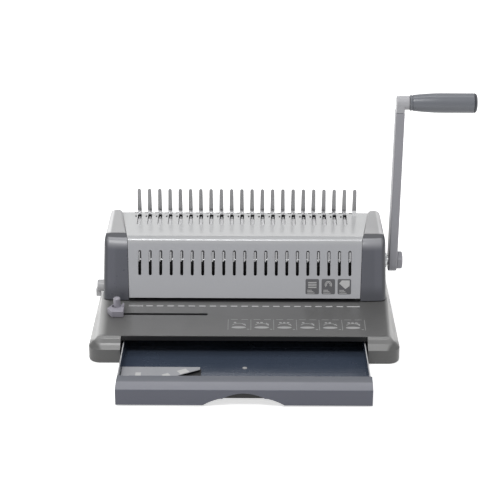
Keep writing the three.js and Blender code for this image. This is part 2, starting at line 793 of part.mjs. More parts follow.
function capTopRing(y, wall, drop) {
  const frontY = capTopSplitY + seat
  const along = (y - frontY) / (capRearY - frontY)
  const rise = capTopRiseFront + (capTopRise - capTopRiseFront) * Math.sin(along * Math.PI / 2)
  const pastRound = Math.max(0, y - (capRearY - capTopRearRound))
  const fall = capTopRearRound - Math.sqrt(capTopRearRound ** 2 - (pastRound * capTopRoundShare) ** 2)
  const top = deckZ(y) + rise - fall - wall
  const bottom = deckZ(y) - capTopSplitDepth + seat - drop
  const inner = capInnerX(y) + wall
  const outer = capOuterX(y) - capDraft - wall
  const height = top - bottom
  const width = outer - inner
  const outerRadius = Math.min(capTopOuterShoulder, height * outerShoulderShares.height,
    width * outerShoulderShares.width)
  const innerRadius = Math.min(capTopInnerShoulder, height * innerShoulderShares.height,
    width * innerShoulderShares.width)
  return [
    [inner, bottom], [outer, bottom],
    ...arc(outer - outerRadius, top - outerRadius, outerRadius, 0, Math.PI / 2, 4),
    ...arc(inner + innerRadius, top - innerRadius, innerRadius, Math.PI / 2, Math.PI, 3),
  ].map(([x, z]) => [x, y, z]).reverse()
}

function capTop(side) {
  const frontY = capTopSplitY + seat
  const at = share => frontY + share * (capRearY - frontY)
  const outside = loft(capTopShares.map(share => capTopRing(at(share), 0, 0)))
  const inside = loft(capTopHollowShares.map(share => capTopRing(at(share), capTopWall, overrun)))
  const shell = cut(outside, inside)
  return side > 0 ? shell : mirrored(shell)
}

piece('cap_top_left', capTop(-1), lightGrey)
piece('cap_top_right', capTop(1), lightGrey)

// Rear cover: a shallow moulded shell behind the deck, as wide as both caps

const rearTopDepth = 7             // the rear cover's depth at its top
const rearFootY = capRearY + rearCoverDepth
const rearTopY = capRearY + rearTopDepth
const rearWall = 2.2
const rearCorner = 9
const rearTopRound = 5
const rearCornerShare = 0.9        // the most of the cover's depth that a corner takes
const rearShares = [[0, 0], [0.92, 0], [0.965, 0.12], [0.99, 0.45], [1, 0.8]]
const rearHollowShares = [[belowShare, 0], [0.92, 0], [1, 0.5]]

function rearRing(share, inset, wall, frontY) {
  const topZ = deckZ(capRearY) - seat - wall
  const z = capFootZ + share * (topZ - capFootZ)
  const rearY = rearFootY + share * (rearTopY - rearFootY) - inset - wall
  const half = capOuterX(capRearY) - capDraft * share - inset - wall
  const radius = Math.min(rearCorner - wall / 2, (rearY - capRearY) * rearCornerShare)
  const steps = 4
  return [
    [-half, frontY], [half, frontY],
    ...arc(half - radius, rearY - radius, radius, 0, Math.PI / 2, steps),
    ...arc(-half + radius, rearY - radius, radius, Math.PI / 2, Math.PI, steps),
  ].map(([x, y]) => [x, y, z])
}

function rearCover() {
  const frontY = capRearY + seat
  const outside = loft(rearShares.map(([share, inset]) => rearRing(share, inset * rearTopRound, 0, frontY)))
  const inside = loft(rearHollowShares.map(([share, inset]) =>
    rearRing(share, inset * rearTopRound, rearWall, frontY - overrun)))
  return cut(outside, inside)
}

piece('rear_cover', rearCover(), capBlue)

// Side frames: steel plates inside the caps, with a flange at the top on which the hook
// plate slides and a flange at the foot that stands on the table

const frameFrontGap = 3.5
const frameRearGap = 2.4
const frameRearY = fingerY - frameRearGap
const hookPlateGap = 0.4           // above the hook plate, and seat below it
const hookPlateDepth = capWall + hookPlateGap
const railDepth = hookPlateDepth + sheetMetal + seat
const railWidth = 8.5
const railInnerX = frameInnerX - railWidth
const railLead = 26                // the rail starts this far in front of the shaft
const railFrontY = shaftY - railLead
const frameFootGap = 1
const frameFootInnerX = rowHalfWidth + frameFootGap
const bushWall = 2
const bushRadius = shaftRadius + bushWall
const bushFlangeReach = 2.5
const bushFlangeRadius = bushRadius + bushFlangeReach
const bushFlange = 1.6

function sideFrame(side) {
  const frontLow = faceY(dieFootZ) + frameFrontGap
  const frontHighZ = deckZ(capTopSplitY) - railDepth - 2 * frameFrontGap
  const frontHigh = [faceY(frontHighZ) + frameFrontGap, frontHighZ]
  const [cornerY, cornerZ] = deckPoint(alongDeck(railFrontY - frameFrontGap), railDepth)
  const [rearTopAt, rearTopZ] = deckPoint(alongDeck(frameRearY), railDepth)
  const plate = prismX([[frontLow, dieFootZ], [rearTopAt, dieFootZ], [rearTopAt, rearTopZ],
    [cornerY, cornerZ], frontHigh], frameInnerX, frameInnerX + frameSheet)
  const railFrom = alongDeck(railFrontY)
  const railTo = alongDeck(frameRearY)
  const railFoot = railDepth + frameSheet
  const rail = prismX([deckPoint(railFrom, railFoot), deckPoint(railTo, railFoot),
    deckPoint(railTo, railDepth), deckPoint(railFrom, railDepth)], railInnerX, frameInnerX + weld)
  const flange = box(frameFootInnerX, frameInnerX + weld, frontLow + overrun, frameRearY,
    dieFootZ, dieFootZ + frameSheet)
  const [holeFrom, holeTo] = [frameInnerX - overrun, frameInnerX + overrun]
  const bushHole = rodX(bushRadius + seat / 2, holeFrom, holeTo, shaftY, shaftZ)
  const stopHole = rodX(stopJournal + seat, holeFrom, holeTo, stopY, stopZ, 16)
  const frame = cut(join(plate, rail, flange), bushHole, stopHole)
  return side > 0 ? frame : mirrored(frame)
}

piece('side_frame_left', sideFrame(-1), brightSteel)
piece('side_frame_right', sideFrame(1), brightSteel)

function shaftBush(side) {
  const inner = frameInnerX - bushFlange - seat
  const outer = frameInnerX + frameSheet + bushFlange
  const bore = shaftRadius + seat / 2
  const flangeEdge = frameInnerX - seat
  const bush = turnedX([[bore, inner], [bushFlangeRadius, inner], [bushFlangeRadius, flangeEdge],
    [bushRadius, flangeEdge], [bushRadius, outer], [bore, outer], [bore, inner]], 20)
    .translate(0, shaftY, shaftZ)
  return side > 0 ? bush : mirrored(bush)
}

piece('shaft_bush_left', shaftBush(-1), nylon)
piece('shaft_bush_right', shaftBush(1), nylon)

// Pin guide: a folded steel channel whose two shelves guide the pins, and the die below

function pinHoles(z0, z1) {
  const half = punchWidth / 2 + pinClearance
  const halfY = punchThickness / 2 + pinClearance
  return [...Array(slotCount).keys()].map(index =>
    box(slotX(index) - half, slotX(index) + half, punchY - halfY, punchY + halfY, z0, z1))
}

function pinGuide() {
  const section = [
    [guideFrontY, guideFootZ], [guideRearY, guideFootZ], [guideRearY, guideFootZ + guideSheet],
    [guideFrontY + guideSheet, guideFootZ + guideSheet],
    [guideFrontY + guideSheet, guideTopZ - guideSheet], [guideRearY, guideTopZ - guideSheet],
    [guideRearY, guideTopZ], [guideFrontY, guideTopZ],
  ]
  const channel = prismX(section, -rowHalfWidth, rowHalfWidth)
  const wingReach = frameInnerX - seat
  const wingFootZ = guideFootZ + (guideTopZ - guideFootZ) / 4
  const wings = box(-wingReach, wingReach, guideFrontY, guideFrontY + guideSheet, wingFootZ, guideTopZ)
  return cut(join(channel, wings), ...pinHoles(guideFootZ - overrun, guideTopZ + overrun))
}

piece('pin_guide', pinGuide(), blackSteel)

const dieSetback = 10.3            // behind the foot of the front cover
const dieTail = 12.5
const dieFrontY = coverFootY + dieSetback
const dieRearY = punchY + dieTail
const dieRamp = 7
const dieEdge = 0.7

function diePlate() {
  const section = [[dieFrontY, dieFootZ], [dieRearY, dieFootZ], [dieRearY, dieTopZ],
    [dieFrontY + dieRamp, dieTopZ], [dieFrontY, dieFootZ + dieEdge]]
  const plate = prismX(section, -rowHalfWidth, rowHalfWidth)
  return cut(plate, ...pinHoles(dieFootZ - overrun, dieTopZ + overrun))
}

piece('die_plate', diePlate(), darkSteel)

const tieRodRadius = 1.6
const tieRodAboveGuide = 3.4
const tieRodGap = 0.8              // between the rod and the pins
const tieRodZ = guideTopZ + tieRodAboveGuide
const tieRodY = punchY - punchThickness / 2 - tieRodGap - tieRodRadius
const tieRodReach = frameInnerX - seat

piece('tie_rod', rodX(tieRodRadius, -tieRodReach, tieRodReach, tieRodY, tieRodZ, 12), brightSteel)

// Gears. Flanks are involutes; teeth are stubbed so that small wheels aren't undercut.

const pressureAngle = deg(20)
const addendum = 0.8 * gearModule
const dedendum = 1.05 * gearModule
const toothThinning = 0.3          // taken off each tooth's width as running play
const toothPitch = Math.PI * gearModule
const punchWheelRadius = punchTeeth * gearModule / 2
const hookWheelRadius = hookTeeth * gearModule / 2
const involute = angle => Math.tan(angle) - angle

// Teeth numbered from first to last about a direction, as points round the wheel's axis
function toothPoints(teeth, direction, first, last) {
  const pitchRadius = teeth * gearModule / 2
  const baseRadius = pitchRadius * Math.cos(pressureAngle)
  const rootRadius = pitchRadius - dedendum
  const tipRadius = pitchRadius + addendum
  const halfAt = radius => {
    const rolled = radius > baseRadius ? involute(Math.acos(baseRadius / radius)) : 0
    return (toothPitch - 2 * toothThinning) / (4 * pitchRadius) + involute(pressureAngle) - rolled
  }
  const flank = [rootRadius, pitchRadius, tipRadius]
  const points = []
  for (let tooth = first; tooth <= last; tooth++) {
    const middle = direction + tooth * 2 * Math.PI / teeth
    for (const radius of flank) points.push([radius, middle - halfAt(radius)])
    for (const radius of [...flank].reverse()) points.push([radius, middle + halfAt(radius)])
  }
  return points.map(([radius, angle]) => [radius * Math.cos(angle), radius * Math.sin(angle)])
}

// A straight rack: teeth across the gaps of a wheel that has a tooth at zero. Points run
// along the rack; depth is measured from the pitch line into the bar.
function rackPoints(first, last) {
  const halfPitchLine = toothPitch / 4 - toothThinning / 2
  const slope = Math.tan(pressureAngle)
  const points = []
  for (let tooth = first; tooth <= last; tooth++) {
    const middle = (tooth + 0.5) * toothPitch
    const halfTip = halfPitchLine - addendum * slope
    const halfRoot = halfPitchLine + dedendum * slope
    points.push([middle - halfRoot, dedendum], [middle - halfTip, -addendum],
      [middle + halfTip, -addendum], [middle + halfRoot, dedendum])
  }
  return points
}

// Punch comb: the pressure bar with its pins, and behind each end of it a leg with a rack

const carrierEndGap = 2
const carrierReach = frameInnerX - carrierEndGap
const wheelWidth = 8
const punchRackInnerX = carrierReach - wheelWidth
const stemWidth = 2.4
const pinFootZ = guideFootZ + guideSheet / 4
const pinShoulderZ = guideTopZ + guideSheet / 4
const rackBack = 6                 // the bar's thickness behind the teeth
const rackPitchY = shaftY - punchWheelRadius

function punchRack(side) {
  const teeth = rackPoints(-1, 4).map(([along, depth]) => [rackPitchY - depth, shaftZ + along])
  const barBackY = rackPitchY - dedendum - rackBack
  const lowZ = teeth[0][1] - weld
  const outline = [[barBackY, lowZ], [rackPitchY - dedendum, lowZ], ...teeth,
    [rackPitchY - dedendum, carrierTopZ], [carrierRearY + seat, carrierTopZ],
    [carrierRearY + seat, carrierFootZ], [barBackY, carrierFootZ]]
  const rack = prismX(outline, punchRackInnerX, carrierReach)
  return side > 0 ? rack : mirrored(rack)
}

function punchComb() {
  const bar = box(-carrierReach, carrierReach, carrierFrontY, carrierRearY, carrierFootZ, carrierTopZ)
  const pins = [...Array(slotCount).keys()].map(index => {
    const x = slotX(index)
    const front = punchY - punchThickness / 2
    const rear = punchY + punchThickness / 2
    const blade = box(x - punchWidth / 2, x + punchWidth / 2, front, rear, pinFootZ, pinShoulderZ)
    const stem = box(x - stemWidth / 2, x + stemWidth / 2, front, rear,
      pinShoulderZ - weld, carrierFootZ + weld)
    return join(blade, stem)
  })
  return join(bar, ...pins)
}

piece('punch_comb', punchComb(), brightSteel)
piece('punch_rack_left', punchRack(-1), brightSteel)
piece('punch_rack_right', punchRack(1), brightSteel)

// Return springs: coils that stand on the frames' foot flanges and lift the punch comb

const springFromRow = 4.7
const springBehindPins = 1
const springX = rowHalfWidth + springFromRow
const springY = punchY + springBehindPins
const springCoilRadius = 2.9
const springWireRadius = 0.5
const springTurns = 7

// A round wire wound about the Z axis
function coil(turns, coilRadius, wireRadius, z0, z1) {
  const stepsPerTurn = 8
  const sides = 4
  const steps = turns * stepsPerTurn
  const lowest = z0 + wireRadius
  const climb = z1 - z0 - 2 * wireRadius
  const rings = []
  for (let step = 0; step <= steps; step++) {
    const angle = step / stepsPerTurn * 2 * Math.PI
    const middleZ = lowest + climb * step / steps
    rings.push(arc(coilRadius, middleZ, wireRadius, 0, 2 * Math.PI, sides).slice(0, sides)
      .map(([radius, z]) => [radius * Math.cos(angle), radius * Math.sin(angle), z]).reverse())
  }
  return loft(rings)
}

for (const [name, side] of [['return_spring_left', -1], ['return_spring_right', 1]]) {
  const spring = coil(springTurns, springCoilRadius, springWireRadius, dieFootZ + frameSheet + seat,
    carrierFootZ - seat)
  piece(name, spring, brightSteel).position.set(side * springX, springY, 0)
}

// Fingers: one steel plate, cut into a comb whose fingers rise through the deck

const fingerRootHalf = 2.4
const fingerTipHalf = 1.95
const fingerRise = 46.3            // above the cover's top bend
const fingerPlateRise = 5.3
const fingerPlateDrop = 19.7       // below it
const fingerTopZ = coverTopZ + fingerRise
const fingerPlateTopZ = coverTopZ + fingerPlateRise
const fingerPlateFootZ = coverTopZ - fingerPlateDrop

function fingerPlate() {
  const half = frameInnerX - seat
  const outline = [[-half, fingerPlateFootZ], [half, fingerPlateFootZ], [half, fingerPlateTopZ]]
  for (let index = fingerCount - 1; index >= 0; index--) {
    const x = fingerX(index)
    outline.push([x + fingerRootHalf, fingerPlateTopZ],
      ...arc(x, fingerTopZ - fingerTipHalf, fingerTipHalf, 0, Math.PI, 4),
      [x - fingerRootHalf, fingerPlateTopZ])
  }
  outline.push([-half, fingerPlateTopZ])
  const plate = prismZ(outline, -fingerSheet / 2, fingerSheet / 2)
  return plate.rotateX(Math.PI / 2).translate(0, fingerY, 0)
}

piece('finger_plate', fingerPlate(), darkSteel)

// Hook plate: slides forwards under the deck and carries a hook for each comb ring.
// Local axes as for the deck.

const hookPlateReach = frameInnerX - seat
const hookPlateLead = 12           // in front of the shaft
const hookPlateTail = 3.6          // in front of the fingers
const hookPlateFrontY = shaftY - hookPlateLead
const hookPlateRearY = fingerY - hookPlateTail
const hookHalfWidth = 2
const hookRise = 6
const hookNose = 3.5
const hookFromFinger = 6
const hookY = fingerY - hookFromFinger
const wheelGap = 2
const hookWheelOuterX = punchRackInnerX - wheelGap
const hookWheelWidth = 6
const hookRackFront = 3.4

// How deep the shaft's axis lies under the deck's plane, and how far along it
const shaftDepth = (coverTopZ - shaftZ) * Math.cos(deckSlope) + (shaftY - coverTopY) * Math.sin(deckSlope)
const shaftAlong = (shaftY - coverTopY) * Math.cos(deckSlope) - (coverTopZ - shaftZ) * Math.sin(deckSlope)

function hookPlate() {
  const top = -hookPlateDepth
  const front = alongDeck(hookPlateFrontY)
  const rear = alongDeck(hookPlateRearY)
  const plate = box(-hookPlateReach, hookPlateReach, front, rear, top - sheetMetal, top)
  const stemBack = alongDeck(hookY)
  const hookSection = [
    [stemBack - sheetMetal, top - sheetMetal / 2], [stemBack, top - sheetMetal / 2], [stemBack, hookRise],
    [stemBack - hookNose, hookRise], [stemBack - hookNose, hookRise - sheetMetal],
    [stemBack - sheetMetal, hookRise - sheetMetal],
  ]
  const hooks = [...Array(slotCount).keys()].map(index => {
    const x = fingerX(index) + hookShift
    return prismX(hookSection, x - hookHalfWidth, x + hookHalfWidth)
  })
  return join(plate, ...hooks)
}

piece('hook_plate', hookPlate(), brightSteel, onDeck)

function hookRack(side) {
  const teeth = rackPoints(0, 5).map(([along, depth]) =>
    [shaftAlong + along, -shaftDepth + hookWheelRadius + depth])
  const rootDepth = -shaftDepth + hookWheelRadius + dedendum
  const top = -hookPlateDepth - sheetMetal - seat
  const frontAt = shaftAlong - hookRackFront
  const rearAt = teeth[teeth.length - 1][0] + weld
  const outline = [[frontAt, rootDepth], ...teeth, [rearAt, rootDepth], [rearAt, top],
    [frontAt + rackBack, top], [frontAt, rootDepth + rackBack]]
  const x0 = side > 0 ? hookWheelOuterX - hookWheelWidth : -hookWheelOuterX
  return prismX(outline, x0, x0 + hookWheelWidth)
}

piece('hook_rack_left', hookRack(-1), brightSteel, onDeck)
piece('hook_rack_right', hookRack(1), brightSteel, onDeck)

// Cross shaft with its wheels. Local axes at the shaft's middle.

const collarWall = 4
const collarRadius = shaftRadius + collarWall
const armThickness = 13.4
const armGap = 4.7                 // from the end cap, at its foot
const armInnerX = bodyHalfWidth + armGap
const armOuterX = armInnerX + armThickness
const boreRadius = shaftRadius + seat

const clipWidth = 1
const clipDepth = 0.9              // how deep the clip's groove goes into the shaft
const clipReach = 3
const clipX = -frameInnerX - frameSheet - bushFlange - seat

function crossShaft() {
  const leftReach = 3.6
  const rightRecess = 1
  const chamfer = 1
  const leftEnd = -frameInnerX - frameSheet - bushFlange - leftReach
  const rightEnd = armOuterX - rightRecess
  const grooveRadius = shaftRadius - clipDepth
  return turnedX([[0, leftEnd], [shaftRadius - chamfer, leftEnd], [shaftRadius, leftEnd + chamfer],
    [shaftRadius, clipX - clipWidth - seat], [grooveRadius, clipX - clipWidth - seat],
    [grooveRadius, clipX + seat], [shaftRadius, clipX + seat],
    [shaftRadius, rightEnd - chamfer], [shaftRadius - chamfer, rightEnd], [0, rightEnd]], 24)
}

piece('cross_shaft', crossShaft(), brightSteel, onShaft)

// The clip that holds the shaft at the left bush: a ring with a gap in it
function shaftClip() {
  const gapHalf = 2.2
  const gapSweep = Math.asin(gapHalf / shaftRadius)
  const inner = shaftRadius - clipDepth + seat
  const outer = shaftRadius + clipReach
  const outline = [...arc(0, 0, outer, gapSweep, 2 * Math.PI - gapSweep, 20),
    ...arc(0, 0, inner, 2 * Math.PI - gapSweep, gapSweep, 16)]
  return prismX(outline, clipX - clipWidth, clipX)
}

piece('shaft_clip', shaftClip(), darkSteel, onShaft)

function punchWheel(side) {
  const outline = toothPoints(punchTeeth, Math.PI, 0, punchTeeth - 1)
  const x0 = side > 0 ? punchRackInnerX : -carrierReach
  return cut(prismX(outline, x0, x0 + wheelWidth),
    rodX(boreRadius, x0 - overrun, x0 + wheelWidth + overrun, 0, 0, 20))
}

piece('punch_wheel_left', punchWheel(-1), darkSteel, onShaft)
piece('punch_wheel_right', punchWheel(1), darkSteel, onShaft)

const sectorHubRadius = 10

function hookSector(side) {
  const direction = Math.PI / 2 + deckSlope
  const teeth = toothPoints(hookTeeth, direction, -6, 1)
  const step = 2 * Math.PI / hookTeeth
  const hub = arc(0, 0, sectorHubRadius, direction + 2 * step, direction - 7 * step + 2 * Math.PI, 14)
  const x0 = side > 0 ? hookWheelOuterX - hookWheelWidth : -hookWheelOuterX
  return cut(prismX([...teeth, ...hub], x0, x0 + hookWheelWidth),
    rodX(boreRadius, x0 - overrun, x0 + hookWheelWidth + overrun, 0, 0, 20))
}

piece('hook_sector_left', hookSector(-1), darkSteel, onShaft)
piece('hook_sector_right', hookSector(1), darkSteel, onShaft)

function leverCollar() {
  const inner = capOuterX(shaftY) + seat
  const outer = armInnerX - seat
  const edge = 1
  return turnedX([[boreRadius, inner], [collarRadius - edge, inner], [collarRadius, inner + edge],
    [collarRadius, outer], [boreRadius, outer], [boreRadius, inner]], 24)
}

piece('lever_collar', leverCollar(), brightSteel, onShaft)

// Lever: arm, elbow, grip pin and grip. Local Z runs up the arm.

const armHubRadius = 15
const armTopHalf = 9.3
const armEdge = 1.6
const elbowRadius = 9.3
const elbowProud = 5.8
const elbowOuterX = armOuterX + elbowProud
const elbowNeck = 11
const elbowSetback = 1             // the elbow is this much narrower than the arm, each side
const gripPinRadius = 4
const gripGap = 0.5
const gripLength = 88.6
const gripInnerX = elbowOuterX + gripGap
const gripOuterX = gripInnerX + gripLength
const gripPinRoot = 8.6
const gripPinShort = 13.7          // the pin ends this far short of the grip's end
const gripPinInnerX = armInnerX + gripPinRoot
const gripPinEnd = gripOuterX - gripPinShort

function leverArm() {
  const topZ = leverLength - elbowNeck - seat
  const tilt = Math.asin((armHubRadius - armTopHalf) / topZ)
  const hub = armHubRadius - armEdge
  const top = armTopHalf - armEdge
  const outline = [[top, topZ - armEdge], [-top, topZ - armEdge],
    ...arc(0, 0, hub, Math.PI - tilt, 2 * Math.PI + tilt, 14)]
  const shape = new THREE.ExtrudeGeometry(shapeOf(outline), {
    depth: armThickness - 2 * armEdge, bevelEnabled: true, bevelThickness: armEdge, bevelSize: armEdge,
    bevelSegments: 3,
  })
  const turn = new THREE.Matrix4().makeBasis(
    new THREE.Vector3(0, 1, 0), new THREE.Vector3(0, 0, 1), new THREE.Vector3(1, 0, 0))
  const bar = shape.applyMatrix4(turn).translate(armInnerX + armEdge, 0, 0)
  return cut(bar, rodX(boreRadius, armInnerX - overrun, armOuterX + overrun, 0, 0))
}

piece('lever_arm', leverArm(), leverGrey, onLever)

function pivotCap() {
  const radius = 12.4
  const thickness = 7.5
  const round = 2
  const inner = armOuterX + seat
  const outer = inner + thickness
  return turnedX([[0, inner], [radius - round / 4, inner], [radius, inner + round / 4],
    ...arc(radius - round, outer - round, round, 0, Math.PI / 2, 3), [0, outer]], 26)
}

piece('pivot_cap', pivotCap(), leverGrey, onLever)

function leverElbow() {
  const inner = armInnerX + elbowSetback
  const edge = 1.4
  const barrel = turnedX([[0, inner], [elbowRadius - edge, inner], [elbowRadius, inner + edge],
    [elbowRadius, elbowOuterX], [0, elbowOuterX]], 28)
  const neckHalf = elbowRadius - seat
  const neck = box(inner + seat, armOuterX - elbowSetback, -neckHalf, neckHalf, -elbowNeck, 0)
  const bore = rodX(gripPinRadius + seat, gripPinInnerX - seat, elbowOuterX + overrun, 0, 0)
  return cut(join(barrel, neck), bore).translate(0, 0, leverLength)
}

piece('lever_elbow', leverElbow(), lightGrey, onLever)
piece('grip_pin', rodX(gripPinRadius, gripPinInnerX, gripPinEnd, 0, leverLength), brightSteel, onLever)

// The grip swells from its neck to its full girth along a quarter of a sine wave
const swellShares = [0.12, 0.24, 0.36, 0.48]
const gripEndShares = [[0.24, 0.45], [0.72, 0.12]]

function grip() {
  const neckRadius = 10.2
  const slimRadius = 10.8
  const fullRadius = 13.2
  const neckEdge = 0.8
  const endRound = 5
  const swollen = swellShares[swellShares.length - 1]
  const swell = share =>
    slimRadius + (fullRadius - slimRadius) * Math.sin(share / swollen * Math.PI / 2)
  const profile = [[0, gripInnerX], [neckRadius, gripInnerX], [slimRadius, gripInnerX + neckEdge]]
  for (const share of swellShares) profile.push([swell(share), gripInnerX + share * gripLength])
  profile.push([fullRadius, gripOuterX - endRound])
  for (const [inward, short] of gripEndShares) {
    profile.push([fullRadius - endRound * inward, gripOuterX - endRound * short])
  }
  const body = turnedX([...profile, [0, gripOuterX]], 26)
  const bore = rodX(gripPinRadius + seat, gripInnerX - overrun, gripPinEnd + 2 * seat, 0, 0)
  return cut(body, bore).translate(0, 0, leverLength)
}

piece('grip', grip(), gripBlue, onLever)

// Drawer: front, tray and comb gauge. Local Y runs back from the front's face.

const drawerFootZ = 0.7
const drawerRimDrop = 1            // heights below the table's front edge
const drawerChamferDrop = 3
const drawerFaceDrop = 9.2
const drawerRimZ = tableFrontHeight - drawerRimDrop
const drawerChamferZ = tableFrontHeight - drawerChamferDrop
const drawerFaceTopZ = tableFrontHeight - drawerFaceDrop
const drawerChamferY = 10.1
const drawerRimY = 22.6
const drawerWall = 2.2
const chamferWallShare = 1.15      // walls measured upright where the front slopes
const faceWallShare = 0.7
const notchFootHalf = 50.2
const notchTopHalf = 29
const notchHeight = 12.7
const scoopHalf = 24
const scoopRise = 3.8
const scoopDepth = 1.2
const trayFloorZ = 2.5
const trayWall = 1.8
const trayHeadroom = 4
const trayTopZ = bayTop - trayHeadroom
const trayRearGap = 9.1            // from the shut tray to the rear of its bay
const trayRearY = bayRearY - trayRearGap - drawerShutY
const trayCorner = 3
const notchSweep = deg(60)

function drawerFront() {
  const outer = [[0, drawerFootZ], [drawerRimY, drawerFootZ + trayFloorZ], [drawerRimY, drawerRimZ],
    [drawerChamferY, drawerChamferZ], [0, drawerFaceTopZ]]
  const inner = [[drawerWall, -overrun], [drawerRimY - drawerWall, -overrun],
    [drawerRimY - drawerWall, drawerRimZ - drawerWall * chamferWallShare],
    [drawerChamferY, drawerChamferZ - drawerWall * chamferWallShare],
    [drawerWall, drawerFaceTopZ - drawerWall * faceWallShare]]
  const body = prismX(outer, -drawerHalfWidth, drawerHalfWidth)
  const hollow = prismX(inner, -drawerHalfWidth + drawerWall, drawerHalfWidth - drawerWall)
  const steps = 6
  const shoulder = []
  for (let step = 0; step <= steps; step++) {
    const angle = notchSweep * step / steps
    const out = Math.sin(angle) / Math.sin(notchSweep)
    const up = (Math.cos(angle) - Math.cos(notchSweep)) / (1 - Math.cos(notchSweep))
    shoulder.push([notchTopHalf + (notchFootHalf - notchTopHalf) * out,
      drawerFootZ + (notchHeight - drawerFootZ) * up])
  }
  const left = shoulder.map(([x, z]) => [-x, z]).reverse()
  const notch = [...left, ...shoulder, [notchFootHalf, -overrun], [-notchFootHalf, -overrun]]
  const scoop = [[-scoopHalf, notchHeight - weld], [scoopHalf, notchHeight - weld]]
  for (let step = 0; step <= steps; step++) {
    const share = step / steps
    scoop.push([scoopHalf * (1 - 2 * share), notchHeight + scoopRise * Math.sin(share * Math.PI)])
  }
  const across = (points, y0, y1) => prismZ(points, -y1, -y0).rotateX(Math.PI / 2)
  return cut(body, hollow, across(notch, -overrun, drawerWall + overrun),
    across(scoop, -overrun, scoopDepth))
}

piece('drawer_front', drawerFront(), drawerGrey, atDrawer)

function drawerTray() {
  const frontY = drawerRimY + seat
  const innerHalf = drawerHalfWidth - trayWall
  const outside = prismZ(roundedRect(-drawerHalfWidth, drawerHalfWidth, frontY, trayRearY, trayCorner),
    trayFloorZ, trayTopZ)
  const inside = prismZ(roundedRect(-innerHalf, innerHalf, frontY + trayWall, trayRearY - trayWall,
    trayCorner - trayWall / 2), trayFloorZ + trayWall, trayTopZ + overrun)
  return cut(outside, inside)
}

piece('drawer_tray', drawerTray(), drawerBlue, atDrawer)

const gaugeThickness = 3
const gaugeRearY = 90.6
const gaugeFrontY = 37
const gaugeWidth = 100.1
const gaugeFrontWidth = 24.1
const gaugeEnd = 7

function combGauge() {
  const left = -drawerHalfWidth + trayWall + seat
  const right = left + gaugeWidth
  const z0 = trayFloorZ + trayWall + seat
  return prismZ([[left, gaugeFrontY], [left + gaugeFrontWidth, gaugeFrontY],
    [right, gaugeRearY - gaugeEnd], [right, gaugeRearY], [left, gaugeRearY]], z0, z0 + gaugeThickness)
}

piece('comb_gauge', combGauge(), lightGrey, atDrawer)

// Edge guide: a block that slides along the slit, with a post, and its clamp below.
// Local axes: Y up the table from its front edge, Z square to it.

const guideWidth = 22.1            // from its face to its tip
const guideShoulderWidth = 15.5
const guideTipX = guideFaceX - guideWidth
const guideShoulderX = guideFaceX - guideShoulderWidth
const slitAt = guideSlitFromEdge / Math.cos(tableSlope)
const guideBehindSlit = 11.1
const guideAheadOfSlit = 10.5
const guideTipBehindSlit = 0.4
const guideBackAt = slitAt + guideBehindSlit
const guideFrontAt = slitAt - guideAheadOfSlit
const guideTipAt = slitAt + guideTipBehindSlit
const postRadius = 4.7
const postSetback = 11.3
const postBehindSlit = 6.3
const postX = guideFaceX - postSetback
const postAt = slitAt + postBehindSlit
const postTop = 21
const fenceThickness = 2.4
const fenceDepth = 8
const fenceTop = 11

function edgeGuide() {
  const outline = [[guideFaceX, guideFrontAt], [guideFaceX, guideBackAt], [guideShoulderX, guideBackAt],
    [guideTipX, guideTipAt], [guideShoulderX, guideFrontAt]]
  const block = prismZ(outline, seat, guideHeight)
  const fence = box(guideFaceX - fenceThickness, guideFaceX, guideBackAt - fenceDepth, guideBackAt,
    seat + weld, fenceTop)
  const stem = rodZ(guideStemRadius, guideStemX, slitAt, -baseWall - guideClampThickness - 3 * seat,
    guideHeight / 2, 12)
  const socket = rodZ(postRadius + seat, postX, postAt, guideHeight / 2, guideHeight + overrun, 20)
  return cut(join(block, fence, stem), socket)
}

piece('edge_guide', edgeGuide(), guideLilac, onTable)

function guidePost() {
  const edge = 1.2
  const foot = guideHeight / 2 + seat
  const profile = [[0, foot], [postRadius, foot], [postRadius, postTop - edge],
    [postRadius - edge, postTop], [0, postTop]]
  const points = profile.map(([radius, z]) => new THREE.Vector2(radius, z))
  return new THREE.LatheGeometry(points, 20).rotateX(Math.PI / 2).translate(postX, postAt, 0)
}

piece('guide_post', guidePost(), guideLilac, onTable)

function guideClamp() {
  const corner = 2
  const top = -baseWall - seat
  const foot = top - guideClampThickness
  const plate = prismZ(roundedRect(guideStemX - guideClampHalf, guideStemX + guideClampHalf,
    slitAt - guideClampHalf, slitAt + guideClampHalf, corner), foot, top)
  return cut(plate, rodZ(guideStemRadius + seat, guideStemX, slitAt, foot - overrun, top + overrun, 12))
}

piece('guide_clamp', guideClamp(), nylon, onTable)

// Margin stop and its knob, placed by the values given with the punch row

function marginStop() {
  const journalLeft = -knobDiscOuterX + seat
  const left = rodX(stopJournal, journalLeft, -stopReach, 0, 0, 16)
  const right = rodX(stopJournal, stopReach, frameInnerX + frameSheet, 0, 0, 16)
  const middle = rodX(stopRadius, -stopReach - weld, stopReach + weld, -stopThrow, 0, 16)
  return join(middle, left, right).translate(0, stopY, stopZ)
}

piece('margin_stop', marginStop(), brightSteel)

function marginKnob() {
  const edge = 1
  const disc = turnedX([[0, -knobDiscOuterX], [knobDiscRadius - edge, -knobDiscOuterX],
    [knobDiscRadius, -knobDiscOuterX + edge], [knobDiscRadius, -knobInnerX], [0, -knobInnerX]], 24)
  const tab = prismX(roundedRect(-knobTabHalf, knobTabHalf, -knobTabReach, -knobTabHalf / 2,
    knobTabCorner), -knobTabOuterX, -knobTabInnerX)
  const bore = rodX(stopJournal + seat / 2, -knobDiscOuterX - seat / 2, -knobInnerX + overrun, 0, 0, 16)
  return cut(join(disc, tab), bore).translate(0, stopY, stopZ)
}

piece('margin_knob', marginKnob(), lightGrey)

export default machine
